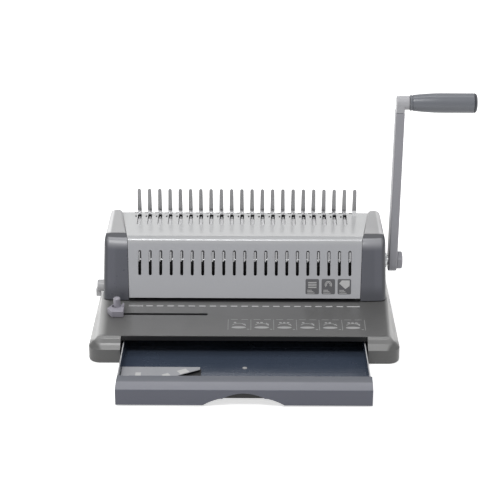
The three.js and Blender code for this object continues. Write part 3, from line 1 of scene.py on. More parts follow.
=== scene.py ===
# %% [markdown]
# # A comb binding machine, dressed for its portrait
# The model arrives as a fixed frame: every piece has its real size and place, in metres, with
# +X to the right, +Y to the back and +Z up. This script gives the pieces their surfaces and
# materials, builds finer shells over the plain ones, and sets up a plain studio.

# %% Load the frame
import json
import math

import bmesh
import bpy
import numpy as np
from mathutils import Matrix, Vector


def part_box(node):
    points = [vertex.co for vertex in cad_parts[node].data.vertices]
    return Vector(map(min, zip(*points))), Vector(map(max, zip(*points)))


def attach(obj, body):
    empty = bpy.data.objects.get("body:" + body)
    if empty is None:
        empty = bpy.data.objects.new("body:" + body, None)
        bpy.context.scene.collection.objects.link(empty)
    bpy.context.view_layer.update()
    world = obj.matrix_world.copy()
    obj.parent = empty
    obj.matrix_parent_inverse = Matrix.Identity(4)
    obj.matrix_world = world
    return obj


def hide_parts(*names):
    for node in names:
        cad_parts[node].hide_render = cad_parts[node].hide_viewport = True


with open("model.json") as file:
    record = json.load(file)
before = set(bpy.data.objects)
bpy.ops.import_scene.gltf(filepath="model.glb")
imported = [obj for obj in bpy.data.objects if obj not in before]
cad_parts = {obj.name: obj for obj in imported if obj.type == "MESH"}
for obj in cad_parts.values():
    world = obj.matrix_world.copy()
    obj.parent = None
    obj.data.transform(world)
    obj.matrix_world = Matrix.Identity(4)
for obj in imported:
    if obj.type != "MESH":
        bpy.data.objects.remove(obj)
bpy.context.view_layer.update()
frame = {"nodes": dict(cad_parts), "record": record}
scene = bpy.context.scene
mm = 0.001
body_of_node = {
    node: body
    for body, nodes in frame["record"]["behaviour"]["bodies"].items()
    for node in nodes
}
slot_of_node = {row["node"]: row["material_slot"] for row in frame["record"]["subparts"]}

# %% [markdown]
# ## The studio
# A product photograph like this one is shot with a long lens from a little above, in front of
# white paper. The camera stands nearly two metres away and looks 22 degrees down. The main soft
# box hangs high in front and a little to the left, so faces that lean back are the brightest
# and the drawer's inside falls into shadow; three weaker ones soften what is left. The
# background is white only to the camera and to reflections, so that no extra light falls on
# the machine.

# %% Camera
camera_place = Vector((7.6, -1841.4, 859.9)) * mm
camera_pitch, camera_yaw, camera_roll = (math.radians(angle) for angle in (22.17, -0.083, 0.22))
lens_mm, sensor_mm, view_end = 106.8, 36, 20


def link_object(name, data):
    """An object for some data, put into the scene."""
    made = bpy.data.objects.new(name, data)
    scene.collection.objects.link(made)
    return made


def camera_matrix(place, pitch, yaw, roll):
    """A camera looks along its own -Z, so the columns are right, up and backwards."""
    heading = Vector((math.sin(yaw), math.cos(yaw), 0))
    forward = heading * math.cos(pitch) - Vector((0, 0, math.sin(pitch)))
    level = Vector((math.cos(yaw), -math.sin(yaw), 0))
    upright = level.cross(forward)
    right = math.cos(roll) * level + math.sin(roll) * upright
    up = -math.sin(roll) * level + math.cos(roll) * upright
    turned = Matrix((right, up, -forward)).transposed().to_4x4()
    return Matrix.Translation(place) @ turned


camera_data = bpy.data.cameras.new("camera")
camera_data.sensor_width = sensor_mm
camera_data.lens = lens_mm
camera_data.clip_end = view_end
scene.camera = link_object("camera", camera_data)
scene.camera.matrix_world = camera_matrix(camera_place, camera_pitch, camera_yaw, camera_roll)
scene.view_settings.view_transform = "Standard"

# %% Lamps
lamp_aim = Vector((0, 0, 0.08))
lamps = {
    "lamp_front_top": ((-0.35, -1.0, 1.8), (1.0, 0.5), 20),
    "lamp_overhead": ((0, 0.35, 1.9), (1.2, 0.4), 6),
    "lamp_left": ((-1.5, -0.2, 1.3), (0.5, 1.0), 5.2),
    "lamp_right": ((1.5, -0.2, 1.3), (0.5, 1.0), 3.6),
}
for name, (place, size, watts) in lamps.items():
    lamp = bpy.data.lights.new(name, "AREA")
    lamp.shape = "RECTANGLE"
    lamp.size, lamp.size_y = size
    lamp.energy = watts
    made = link_object(name, lamp)
    made.location = place
    made.rotation_euler = (lamp_aim - made.location).to_track_quat("-Z", "Y").to_euler()
print("lamps", sorted(lamps))


# %% Node helpers
def set_inputs(tree, node, inputs):
    """Each named or numbered input of a node takes a value, or a link where it is given a socket."""
    for key, value in inputs.items():
        if isinstance(value, bpy.types.NodeSocket):
            tree.links.new(value, node.inputs[key])
        else:
            node.inputs[key].default_value = value
    return node.outputs


def add_node(tree, kind, inputs, **settings):
    """A shader node with its settings and inputs; gives its outputs."""
    node = tree.nodes.new("ShaderNode" + kind)
    for name, value in settings.items():
        setattr(node, name, value)
    return set_inputs(tree, node, inputs)


def add_math(tree, operation, first, second):
    """A math node on sockets or numbers."""
    return add_node(tree, "Math", {0: first, 1: second}, operation=operation)[0]


def seen_mask(tree):
    """One for rays from the camera and for reflected or refracted ones, else nought."""
    path = add_node(tree, "LightPath", {})
    either = add_math(tree, "MAXIMUM", path["Is Camera Ray"], path["Is Glossy Ray"])
    return add_math(tree, "MAXIMUM", either, path["Is Transmission Ray"])


# %% World and floor
world_light, seen_light = 0.34, 1.0
floor_half, floor_z = 3.0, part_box("foot_front_left")[0][2]
paper_white, paper_roughness = (0.82, 0.82, 0.82, 1), 0.9
glow_start, glow_stop, glow_low, glow_high = 0.3, 1.1, 0.66, 1.0

scene.world = bpy.data.worlds.new("studio")
scene.world.use_nodes = True
tree = scene.world.node_tree
light = add_node(tree, "MapRange", {"Value": seen_mask(tree), "To Min": world_light, "To Max": seen_light})
set_inputs(tree, tree.nodes["Background"], {"Color": (1, 1, 1, 1), "Strength": light["Result"]})


def floor_material():
    """White paper: it takes the shadow near the machine, and a glow that grows outwards lifts
    it to white for the camera."""
    material = bpy.data.materials.new("paper_floor")
    material.use_nodes = True
    tree = material.node_tree
    place = add_node(tree, "TexCoord", {})["Object"]
    away = add_node(tree, "VectorMath", {0: place}, operation="LENGTH")["Value"]
    glow = add_node(tree, "MapRange", {"Value": away, "From Min": glow_start, "From Max": glow_stop,
                                       "To Min": glow_low, "To Max": glow_high})["Result"]
    set_inputs(tree, tree.nodes["Principled BSDF"], {
        "Base Color": paper_white, "Roughness": paper_roughness, "Emission Color": (1, 1, 1, 1),
        "Emission Strength": add_math(tree, "MULTIPLY", seen_mask(tree), glow)})
    return material


floor_mesh = bpy.data.meshes.new("floor")
floor_corners = [(a * floor_half, b * floor_half, floor_z) for a, b in ((-1, -1), (1, -1), (1, 1), (-1, 1))]
floor_mesh.from_pydata(floor_corners, [], [(0, 1, 2, 3)])
floor_mesh.materials.append(floor_material())
floor = link_object("floor", floor_mesh)

# %% [markdown]
# ## Shared surface effects
# Real surfaces are never one flat colour. Injection-moulded plastic carries the spark-eroded
# texture of its mould, zinc-plated steel shows the lines of rolling and grinding, silver paint
# holds tiny flakes, and everything varies a little in tone and gloss. Each of these is a node
# group with named inputs, built once and placed in the materials with its own values. All read
# Object coordinates in metres, so a pattern keeps its real scale on every piece.


# %% Group helpers
def start_group(name, inputs, outputs):
    """A shader node group with a Vector, more inputs with their defaults and float outputs."""
    group = bpy.data.node_groups.new(name, "ShaderNodeTree")
    for label, value in {"Vector": None, **inputs}.items():
        kind = "NodeSocketFloat" if isinstance(value, float) else "NodeSocketVector"
        socket = group.interface.new_socket(name=label, in_out="INPUT", socket_type=kind)
        if value is not None:
            socket.default_value = value
    for label in outputs:
        group.interface.new_socket(name=label, in_out="OUTPUT", socket_type="NodeSocketFloat")
    given = group.nodes.new("NodeGroupInput").outputs
    return group, given, group.nodes.new("NodeGroupOutput")


def add_noise(tree, vector, scale, detail=2.0, roughness=0.5):
    """A noise texture on a vector; scale is a number or a socket."""
    return add_node(tree, "TexNoise", {"Vector": vector, "Scale": scale, "Detail": detail,
                                       "Roughness": roughness})["Fac"]


# %% Moulded grain, brushing, paint flake, handling marks and painted light bands
def moulded_grain_group():
    """Height is fine pits with noise of the same scale on them; Tone drifts slowly."""
    group, given, result = start_group("moulded_grain", {"Scale": 2200.0}, ["Height", "Tone"])
    place, scale = given["Vector"], given["Scale"]
    pits = add_node(group, "TexVoronoi", {"Vector": place, "Scale": scale}, feature="SMOOTH_F1")
    height = add_math(group, "ADD", pits["Distance"], add_noise(group, place, scale, 3.0))
    set_inputs(group, result, {"Height": height, "Tone": add_noise(group, place, 14.0, 3.0)})
    return group


def brushed_group():
    """Height and Tone are noise stretched a hundredfold along one axis."""
    group, given, result = start_group(
        "brushed_lines", {"Stretch": (12.0, 1500.0, 1500.0)}, ["Height", "Tone"])
    stretched = add_node(group, "VectorMath", {0: given["Vector"], 1: given["Stretch"]},
                         operation="MULTIPLY")["Vector"]
    set_inputs(group, result, {"Height": add_noise(group, stretched, 1.0, 4.0, 0.6),
                               "Tone": add_noise(group, stretched, 0.13, 2.0)})
    return group


def paint_flake_group():
    """Flake is a random value in each tiny cell; Peel is the slow waviness of sprayed paint."""
    group, given, result = start_group("paint_flake", {"Scale": 3500.0}, ["Flake", "Peel"])
    cells = add_node(group, "TexVoronoi", {"Vector": given["Vector"], "Scale": given["Scale"]})
    split = add_node(group, "SeparateColor", {"Color": cells["Color"]})
    set_inputs(group, result, {"Flake": split[0], "Peel": add_noise(group, given["Vector"], 260.0, 1.0)})
    return group


def handling_group():
    """Marks is a soft mask of wiped patches and a few fine specks of dust."""
    group, given, result = start_group("handling_marks", {}, ["Marks"])
    wiped = add_noise(group, given["Vector"], 22.0, 4.0, 0.6)
    specks = add_node(group, "MapRange", {"Value": add_noise(group, given["Vector"], 900.0, 1.0),
                                          "From Min": 0.68, "From Max": 0.8})["Result"]
    faint = add_math(group, "MULTIPLY", specks, 0.4)
    set_inputs(group, result, {"Marks": add_math(group, "ADD", wiped, faint)})
    return group


def light_band_group():
    """Mask rises smoothly from nought to one along Axis from Low to High, for bands of painted light and
    shade.
    """
    group, given, result = start_group(
        "painted_light_band", {"Axis": (0.0, 0.0, 1.0), "Low": 0.0, "High": 0.1}, ["Mask"])
    along = add_node(group, "VectorMath", {0: given["Vector"], 1: given["Axis"]}, operation="DOT_PRODUCT")
    mask = add_node(group, "MapRange", {"Value": along["Value"], "From Min": given["Low"],
                                        "From Max": given["High"]}, interpolation_type="SMOOTHSTEP")
    set_inputs(group, result, {"Mask": mask["Result"]})
    return group


effects = {
    "tone": light_band_group(),
    "grain": moulded_grain_group(),
    "brushed": brushed_group(),
    "flake": paint_flake_group(),
    "handling": handling_group(),
}
print("effects", sorted(effects))

# %% [markdown]
# ## Materials
# One material per finish. The shader stays in the material; the groups only drive its colour,
# roughness and bump. Constants such as metallic and coat are set on the shader's own sockets.


# %% Building a material
surface_kinds = {
    "grain": ("Tone", "Height", 0.05, 0.06),
    "brushed": ("Tone", "Height", 0.06, 0.08),
    "flake": ("Flake", "Peel", 0.03, 0.04),
}


def place_effect(tree, name, vector, **values):
    """Puts a shared effect into a material, with its own values for this finish."""
    node = tree.nodes.new("ShaderNodeGroup")
    node.node_tree = effects[name]
    return set_inputs(tree, node, {"Vector": vector, **values})


def blend(tree, factor, first, second):
    """A colour that moves from first to second with factor; each is a colour or a socket."""
    ends = [end if isinstance(end, bpy.types.NodeSocket) else (*end, 1) for end in (first, second)]
    return add_node(tree, "Mix", {"Factor": factor, "A": ends[0], "B": ends[1]}, data_type="RGBA")["Result"]


def make_finish(name, effect, colour, roughness, depth, spread, bands, values,
                metallic=0.0, coat=0.0, specular=0.4):
    """An effect varies the colour by a share and bends the surface by a depth in millimetres,
    and handling moves the roughness. A band (axis, low, high in millimetres, colour) blends in painted
    light and shade."""
    material = bpy.data.materials.new(name)
    material.use_nodes = True
    tree = material.node_tree
    tone, height, wiped, dulled = surface_kinds[effect]
    place = add_node(tree, "TexCoord", {})["Object"]
    pattern = place_effect(tree, effect, place, **values)
    marks = place_effect(tree, "handling", place)["Marks"]
    dark, light = ([min(1.0, part * (1 + side * spread)) for part in colour] for side in (-1, 1))
    mixed = blend(tree, pattern[tone], dark, light)
    for axis, low, high, other in bands:
        mask = place_effect(tree, "tone", place, Axis=axis, Low=low * mm, High=high * mm)["Mask"]
        mixed = blend(tree, mask, mixed, other)
    rough = add_node(tree, "MapRange", {"Value": marks, "From Min": 0.3, "From Max": 0.7,
                                        "To Min": roughness - wiped, "To Max": roughness + dulled})
    bent = add_node(tree, "Bump", {"Distance": depth * mm, "Strength": 1.0, "Height": pattern[height]})
    set_inputs(tree, tree.nodes["Principled BSDF"], {
        "Base Color": mixed, "Roughness": rough["Result"], "Normal": bent["Normal"], "Metallic": metallic,
        "Coat Weight": coat, "Coat Roughness": 0.1, "Specular IOR Level": specular})
    return material


def moulded_plastic(name, colour, roughness, scale=1500.0, depth=0.012, spread=0.05, bands=(), **shader):
    """Injection-moulded plastic with a mould texture."""
    return make_finish(name, "grain", colour, roughness, depth, spread, bands, {"Scale": scale}, **shader)


def bare_steel(name, colour, roughness, stretch=(12.0, 1500.0, 1500.0), depth=0.006, spread=0.12, bands=()):
    """Plated or polished steel with fine lines along X."""
    return make_finish(name, "brushed", colour, roughness, depth, spread, bands, {"Stretch": stretch}, 1.0)


def painted_sheet(name, colour, roughness, metallic, depth=0.004, spread=0.05, bands=(), **shader):
    """Sprayed sheet metal: flakes vary the colour, orange peel bends the reflections."""
    return make_finish(name, "flake", colour, roughness, depth, spread, bands, {}, metallic, **shader)


# %% The finishes of this machine
body_lean, deck_slope = math.radians(18.5), math.radians(8.4)
upright, forwards = (0.0, 0.0, 1.0), (0.0, 1.0, 0.0)
square_to_deck = (0.0, -math.sin(deck_slope), math.cos(deck_slope))
flank_taper, cap_taper = -0.0395, 0.038
flank_right, flank_left = (1.0, flank_taper, 0.0), (-1.0, flank_taper, 0.0)
cap_right, cap_left = (1.0, cap_taper, 0.0), (-1.0, cap_taper, 0.0)
# Painted light on the base: a sheen on the bevelled flanks, a highlight in the front scoops and shade in a
# lens at each front corner.
table_tone, flank_sheen, scoop_highlight = (0.090, 0.090, 0.089), (0.33, 0.33, 0.327), (0.21, 0.21, 0.209)
cap_tone, lens_shade = (0.082, 0.085, 0.103), (0.072, 0.072, 0.071)
# Painted light on the end caps: a sheen inside the outer sides, shade towards the foot and a dark
# reflection on the rounded outer edges.
cap_sheen, cap_foot_shade, cap_edge_shade = (0.095, 0.098, 0.118), (0.046, 0.048, 0.060), (0.045, 0.047, 0.057)
finishes = {}


def add_finish(make, name, *values, **more):
    """Makes a material and keeps it under its name."""
    finishes[name] = make(name, *values, **more)


# The table is a little lighter towards its front edge. The rest is painted light: a sheen on the flanks,
# brighter on the left, a highlight in the scoops and shade at the front corners, all kept off the vertical
# sides.
add_finish(moulded_plastic, "table_grey", table_tone, 0.34, specular=0.5, bands=[
    (forwards, -50, -104, (0.098, 0.098, 0.097)),
    (flank_right, 189.5, 195.5, flank_sheen), (flank_left, 182, 197, (0.46, 0.46, 0.456)),
    (forwards, -107.5, -109.5, scoop_highlight),
    ((1.0, -0.6, 0.0), 257, 263, lens_shade), ((-1.0, -0.6, 0.0), 257, 263, lens_shade),
    (upright, 18.6, 17.6, table_tone)])
add_finish(painted_sheet, "plate_black", (0.010, 0.010, 0.011), 0.5, 0.0)
add_finish(moulded_plastic, "rubber", (0.012, 0.012, 0.013), 0.85, 900.0, 0.02)
# Painted light on the silver cover: darker from the middle of the slots upwards, and a highlight over the
# top bend.
add_finish(painted_sheet, "cover_silver", (0.39, 0.395, 0.415), 0.32, 0.35, bands=[
    (upright, 60, 92, (0.37, 0.375, 0.395)), (upright, 108, 114, (0.42, 0.425, 0.435))])
add_finish(painted_sheet, "deck_silver", (0.54, 0.545, 0.55), 0.16, 0.2, coat=0.6)
# Painted light on the end caps: a sheen inside the outer sides, a highlight on the front shoulder, a dark
# top strip, shade towards the foot and a dark reflection on the outer edges.
add_finish(moulded_plastic, "cap_blue_grey", cap_tone, 0.30, specular=0.5, bands=[
    (cap_right, 174, 179, cap_sheen), (cap_left, 174, 179, cap_sheen),
    (square_to_deck, 98, 109.4, (0.26, 0.262, 0.28)), (forwards, 33, 42, cap_tone),
    (square_to_deck, 111.3, 111.75, (0.058, 0.06, 0.069)), (upright, 60, 42, cap_foot_shade),
    (cap_right, 185, 189.5, cap_edge_shade), (cap_left, 185, 189.5, cap_edge_shade)])
add_finish(moulded_plastic, "light_grey", (0.43, 0.43, 0.44), 0.38)
# Painted highlight: a bright strip along each crest's outer shoulder, brighter on the left.
add_finish(moulded_plastic, "crest_grey", (0.41, 0.41, 0.415), 0.38, bands=[
    (cap_right, 183.5, 186.5, (0.60, 0.60, 0.605)), (cap_left, 183.5, 186.5, (0.74, 0.74, 0.745))])
add_finish(bare_steel, "frame_steel", (0.62, 0.63, 0.64), 0.3)
add_finish(bare_steel, "gear_steel", (0.26, 0.26, 0.27), 0.34)
add_finish(moulded_plastic, "nylon", (0.62, 0.61, 0.57), 0.5)
add_finish(painted_sheet, "lever_grey", (0.29, 0.29, 0.315), 0.36, 0.1)
add_finish(moulded_plastic, "grip_blue_grey", (0.138, 0.146, 0.165), 0.28, specular=0.5)
# Painted light on the drawer front: a highlight on the chamfer and a lighter rim top.
add_finish(moulded_plastic, "drawer_grey", (0.105, 0.110, 0.138), 0.36, bands=[
    (upright, 21.4, 22.6, (0.195, 0.20, 0.228)), (upright, 27.6, 28.3, (0.115, 0.122, 0.142))])
add_finish(moulded_plastic, "drawer_blue", (0.043, 0.056, 0.083), 0.24, depth=0.004, coat=0.3)
add_finish(moulded_plastic, "guide_lilac", (0.30, 0.29, 0.33), 0.4)
# Painted highlight: the fingers are light near their feet, just over the deck.
add_finish(bare_steel, "finger_steel", (0.25, 0.25, 0.255), 0.3, (1500.0, 1500.0, 12.0), bands=[
    (upright, 131.5, 129.5, (0.75, 0.75, 0.76))])
# Painted shade: the hook plate is near black below the deck's face, and bright steel above it.
add_finish(bare_steel, "hook_steel", (0.030, 0.030, 0.031), 0.3, bands=[
    (square_to_deck, 113.2, 113.8, (0.72, 0.72, 0.73))])
# Near white: the painted highlight on the small blocks under the pin faces.
add_finish(painted_sheet, "pin_steel", (0.88, 0.88, 0.89), 0.3, 0.25)
add_finish(bare_steel, "mirror_steel", (0.36, 0.36, 0.37), 0.2, depth=0.002, spread=0.05)
add_finish(painted_sheet, "tongue_steel", (0.60, 0.60, 0.61), 0.3, 0.2)
add_finish(moulded_plastic, "elbow_grey", (0.40, 0.40, 0.42), 0.28)
add_finish(painted_sheet, "print_white", (0.50, 0.50, 0.50), 0.5, 0.0)
add_finish(painted_sheet, "print_grey", (0.33, 0.33, 0.33), 0.5, 0.0)
add_finish(painted_sheet, "print_dark", (0.105, 0.105, 0.112), 0.45, 0.0)
# The gauge's sides, below 6.9 mm, are near black: painted shade.
add_finish(moulded_plastic, "gauge_grey", (0.33, 0.335, 0.355), 0.42, spread=0.16, specular=0.1, bands=[
    (upright, 7.3, 6.9, (0.012, 0.012, 0.014))])

for node_name, node_object in frame["nodes"].items():
    node_object.data.materials.clear()
    node_object.data.materials.append(finishes[slot_of_node[node_name]])
print("finishes", len(finishes))

# %% [markdown]
# ## Tools for building the shells
# A moulded shell is an outside form with the inside form taken out of it. Each form is a stack
# of rings worked out as numpy arrays, skinned with quads; holes and slots are cut with exact
# booleans, and a narrow bevel rounds every edge so that it catches the light as a real one does.


# %% Curves
def arc(centre, radius, start, stop, steps=10):
    """Points of a circle: centre + radius * (cos, sin) of angles from start to stop."""
    angles = np.linspace(start, stop, steps + 1)
    return np.asarray(centre) + radius * np.stack([np.cos(angles), np.sin(angles)], axis=1)


def quarter_ellipse(centre, reach, rise, steps):
    """Points centre + (reach * cos, rise * sin) of angles from 0 to 90 degrees."""
    return arc((0, 0), 1.0, 0, math.pi / 2, steps) * (reach, rise) + centre


def rounded_levels(start, inset, last, count):
    """The levels of a rounded top edge. With up from 0 to last, the share of the height is
    start + (1 - start) * up, and the inset is inset * (1 - sqrt(1 - up * up))."""
    return [(start + (1 - start) * up, inset * (1 - math.sqrt(1 - up ** 2)))
            for up in np.linspace(0, last, count)]


def rounded_rectangle(low, high, radius, steps=8):
    """A rectangle between two corners, with an arc at each corner."""
    (a0, b0), (a1, b1) = low, high
    turn = math.pi / 2
    centres = [(a1 - radius, b0 + radius), (a1 - radius, b1 - radius), (a0 + radius, b1 - radius),
               (a0 + radius, b0 + radius)]
    return np.concatenate([
        arc(centre, radius, (at - 1) * turn, at * turn, steps) for at, centre in enumerate(centres)
    ])


def slot_outline(middle, half_width, half_length):
    """Two half circles joined by straight sides, lying along the second coordinate."""
    run = half_length - half_width
    a, b = middle
    return np.concatenate([
        arc((a, b + run), half_width, 0, math.pi),
        arc((a, b - run), half_width, math.pi, 2 * math.pi),
    ])


def soften(corners, reach, steps=5):
    """Replaces each inner corner of a polyline by a parabola that starts and ends reach away."""
    corners = np.asarray(corners, float)
    share = np.linspace(0, 1, steps)[:, None]
    parts = [corners[:1]]
    for before, corner, after in zip(corners[:-2], corners[1:-1], corners[2:]):
        start = corner + (before - corner) * min(0.5, reach / np.linalg.norm(before - corner))
        stop = corner + (after - corner) * min(0.5, reach / np.linalg.norm(after - corner))
        parts.append((1 - share) ** 2 * start + 2 * share * (1 - share) * corner + share ** 2 * stop)
    parts.append(corners[-1:])
    return np.concatenate(parts)


# %% Meshes
def quad_faces(rows, columns):
    """Quads between the points of a grid whose last column joins its first."""
    at = np.arange(rows * columns).reshape(rows, columns)
    beside = np.roll(at, -1, axis=1)
    return np.stack([at[:-1], beside[:-1], beside[1:], at[1:]], axis=-1).reshape(-1, 4).tolist()


def add_object(name, points, faces):
    """Points in millimetres and faces become an object, merged and with its faces outwards."""
    mesh = bpy.data.meshes.new(name)
    mesh.from_pydata((np.asarray(points, float).reshape(-1, 3) * mm).tolist(), [], faces)
    work = bmesh.new()
    work.from_mesh(mesh)
    bmesh.ops.remove_doubles(work, verts=work.verts, dist=0.001 * mm)
    bmesh.ops.recalc_face_normals(work, faces=work.faces)
    work.to_mesh(mesh)
    work.free()
    return link_object(name, mesh)


def loft(name, rings, fold=None):
    """Skins a stack of rings and closes both ends. fold names the two points between which the
    last ring's flat end is creased."""
    rings = np.asarray(rings, float)
    levels, count = rings.shape[:2]
    faces = quad_faces(levels, count)
    faces.append(list(range(count)))
    last = list(range((levels - 1) * count, levels * count))
    if fold is None:
        faces.append(last)
    else:
        first, second = fold
        faces.append(last[first:second + 1])
        faces.append(last[second:] + last[:first + 1])
    return add_object(name, rings, faces)


def prism(name, outline, low, high, axis):
    """An outline carried along an axis. Its two coordinates are the other two axes in order."""
    outline = np.asarray(outline, float)
    others = [at for at in range(3) if at != axis]
    rings = np.zeros((2, len(outline), 3))
    rings[:, :, others] = outline
    rings[:, :, axis] = np.array([[low], [high]])
    return loft(name, rings)


def block(name, low, high):
    """A box between two corners."""
    corners = [(low[0], low[1]), (high[0], low[1]), (high[0], high[1]), (low[0], high[1])]
    return prism(name, corners, low[2], high[2], 2)


def turned(name, profile, centre, sides=72):
    """A profile of (radius, x) turned about the X axis through centre (y, z)."""
    profile = np.asarray(profile, float)
    angles = np.linspace(0, 2 * math.pi, sides, endpoint=False)
    rings = np.zeros((len(profile), sides, 3))
    rings[:, :, 0] = profile[:, 1:]
    rings[:, :, 1] = centre[0] + profile[:, :1] * np.cos(angles)
    rings[:, :, 2] = centre[1] + profile[:, :1] * np.sin(angles)
    return add_object(name, rings, quad_faces(len(profile), sides))


def rod(name, radius, start, stop, centre):
    """A cylinder along X from start to stop about centre (y, z)."""
    return turned(name, [(0, start), (radius, start), (radius, stop), (0, stop)], centre, 64)


def at_height(plan, z):
    """Points (x, y) become (x, y, z); z is one height, or one for each point."""
    plan = np.asarray(plan, float)
    return np.column_stack([plan, np.full(len(plan), z)])


# %% Joining, cutting and finishing
def settle(target):
    """Applies the modifiers by keeping the evaluated mesh."""
    bpy.context.view_layer.update()
    graph = bpy.context.evaluated_depsgraph_get()
    final = bpy.data.meshes.new_from_object(target.evaluated_get(graph))
    target.modifiers.clear()
    target.data = final
    return target


def combine(target, others, operation="DIFFERENCE"):
    """Cuts others out of target, or joins or intersects them, and removes them."""
    for other in others:
        change = target.modifiers.new("combine", "BOOLEAN")
        change.operation = operation
        change.solver = "EXACT"
        change.object = other
    settle(target)
    for other in others:
        bpy.data.objects.remove(other)
    return target


def gather(name, parts):
    """Several separate solids as one mesh object, to be used as one cutter or one piece."""
    work = bmesh.new()
    for part in parts:
        work.from_mesh(part.data)
    mesh = bpy.data.meshes.new(name)
    work.to_mesh(mesh)
    work.free()
    for part in parts:
        bpy.data.objects.remove(part)
    return link_object(name, mesh)


def round_edges(target, width, segments=2, sharper_than=34):
    """A bevel along every edge sharper than an angle."""
    bevel = target.modifiers.new("round", "BEVEL")
    bevel.width = width * mm
    bevel.segments = segments
    bevel.limit_method = "ANGLE"
    bevel.angle_limit = math.radians(sharper_than)
    bevel.use_clamp_overlap = False
    return settle(target)


def shade(target, finish, sharper_than=40):
    """One finish, and smooth shading that keeps sharp edges and weights normals by area."""
    mesh = target.data
    mesh.polygons.foreach_set("use_smooth", np.ones(len(mesh.polygons), bool))
    mesh.set_sharp_from_angle(angle=math.radians(sharper_than))
    weighted = target.modifiers.new("weighted", "WEIGHTED_NORMAL")
    weighted.keep_sharp = True
    mesh.materials.clear()
    mesh.materials.append(finishes[finish])


def dress(target, *nodes, finish=None):
    """The piece stands for the nodes: it takes their body and the finish of their slot, unless another
    finish is given.
    """
    first = nodes[0]
    slot = slot_of_node[first]
    shade(target, finish or slot)
    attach(target, body_of_node[first])
    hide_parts(*nodes)
    print(target.name, len(target.data.polygons), "faces")
    return target


def complete(target, cutters, width, node, segments=2):
    """Cuts a shell, rounds its edges and puts it in its node's place."""
    combine(target, cutters)
    round_edges(target, width, segments)
    return dress(target, node)


def add_trim(target, body, finish):
    """A small extra piece that stands for no node."""
    shade(target, finish)
    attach(target, body)
    return target


def finished_copy(node, width, finish=None):
    """A copy of a plain node, merged, with its flat faces whole again and its edges rounded."""
    made = link_object(node + "_finished", frame["nodes"][node].data.copy())
    work = bmesh.new()
    work.from_mesh(made.data)
    bmesh.ops.remove_doubles(work, verts=work.verts, dist=0.001 * mm)
    bmesh.ops.dissolve_limit(work, angle_limit=math.radians(1), verts=work.verts, edges=work.edges)
    work.to_mesh(made.data)
    work.free()
    if width:
        round_edges(made, width)
    return dress(made, node, finish=finish)


def box_mm(node):
    """A node's lowest and highest corners at rest, in millimetres."""
    low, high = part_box(node)
    return np.array(low) / mm, np.array(high) / mm


# %% [markdown]
# ## Sizes the shells share
# Widths, heights and slopes come from the frame where it gives them; the rest are the sizes
# of the real mouldings, in millimetres.

# %% Body planes
seat, overrun = 0.3, 5.0
comb_pitch, slot_count, row_shift = 14.2875, 21, 2.42
base_low, base_high = box_mm("base_cover")
base_half = base_high[0]
table_edge_y, table_front_z = base_low[1] + 16, base_high[2] - 5
cover_foot_y, cover_foot_z = box_mm("front_cover")[0][1:]
cover_rise, deck_gap = 75.9, 0.73
cover_top_y = cover_foot_y + cover_rise * math.tan(body_lean)
cover_top_z = cover_foot_z + cover_rise
cap_rear_y = box_mm("end_cap_right")[1][1]
deck_depth = (cap_rear_y - deck_gap - cover_top_y) / math.cos(deck_slope)
cap_inner_places = (cover_foot_y, cover_top_y, cap_rear_y)
cap_inner_halves = (157.5, 159.7, 172.6)
cap_front_half = 192.7
shaft_y, shaft_z = 56.0, 70.5
stop_y, stop_z = 28.0, 42.4


def slot_x(index):
    """X of a punch slot: its number less the middle one's, times the pitch."""
    return (index - (slot_count - 1) / 2) * comb_pitch


def finger_x(index):
    """X of a finger: half a pitch beside the slots, and moved by the row's shift."""
    return (index - slot_count / 2) * comb_pitch + row_shift


def face_y(z):
    """Y of the front cover's outer face at a height."""
    return cover_foot_y + (z - cover_foot_z) * math.tan(body_lean)


def deck_z(y):
    """Height of the deck's plane at a depth."""
    return cover_top_z + (y - cover_top_y) * math.tan(deck_slope)


def cap_inner_x(y):
    """Half the width between the end caps: nearly straight in front, splayed behind the bend."""
    return np.interp(y, cap_inner_places, cap_inner_halves)


def cap_outer_x(y):
    """Half the width over the end caps: it falls by the taper towards the back."""
    return cap_front_half - (y - cover_foot_y) * cap_taper


def table_z(y):
    """The table climbs from its front edge to the foot of the cover and is level behind it."""
    share = np.clip((y - table_edge_y) / (cover_foot_y - table_edge_y), 0, 1)
    return table_front_z + (base_high[2] - table_front_z) * share


def on_side(side, points):
    """Points of the right side as they are, or mirrored to the left where side is -1."""
    return np.asarray(points) * np.array([side, 1.0, 1.0])


def sided(name, side):
    """A name with its side added."""
    return name + ("_right" if side > 0 else "_left")


# %% [markdown]
# ## Base cover
# The base is one large moulding: a dark table that falls a few millimetres towards the user,
# flanked by bevels that run into scooped corners at the front. Its outline is a rounded
# rectangle at every level, and a short list of shares says how the levels draw in, so a stack
# of rings gives the whole flank and both scoops at once. The mouth of the drawer, the slit of
# the edge guide and the chip window are then cut out.

# %% Base cover
corner_radius = 15.0
side_inset_front, side_inset_rear, rear_inset = 12.3, 8.0, 11.0
front_inset = table_edge_y - base_low[1]
base_side_z, skirt_z = 18.0, -0.7
base_wall = 2.5
bay_half, bay_top, bay_rear_y, bay_wall = 160.5, 24.0, 93.0, 2.0
bay_wall_low, bay_wall_high = 3.3, 40
clamp_low, clamp_high = (-185, -59.5, bay_top), (-46, -36.5, bay_wall_high)
window_low, window_high = (-150.9, 14.5, 28), (150.9, 26.5, 41)
slit_middle, slit_half, slit_reach, slit_low, slit_high = (-48.0, -113.0), 2.8, 64.1, 26, 41
relief_radius, relief_stop, gap_top = 8.6, -193.1, 50
corner_steps = 14
fold_points = (2 * (corner_steps + 1), 4 * (corner_steps + 1) + 1)

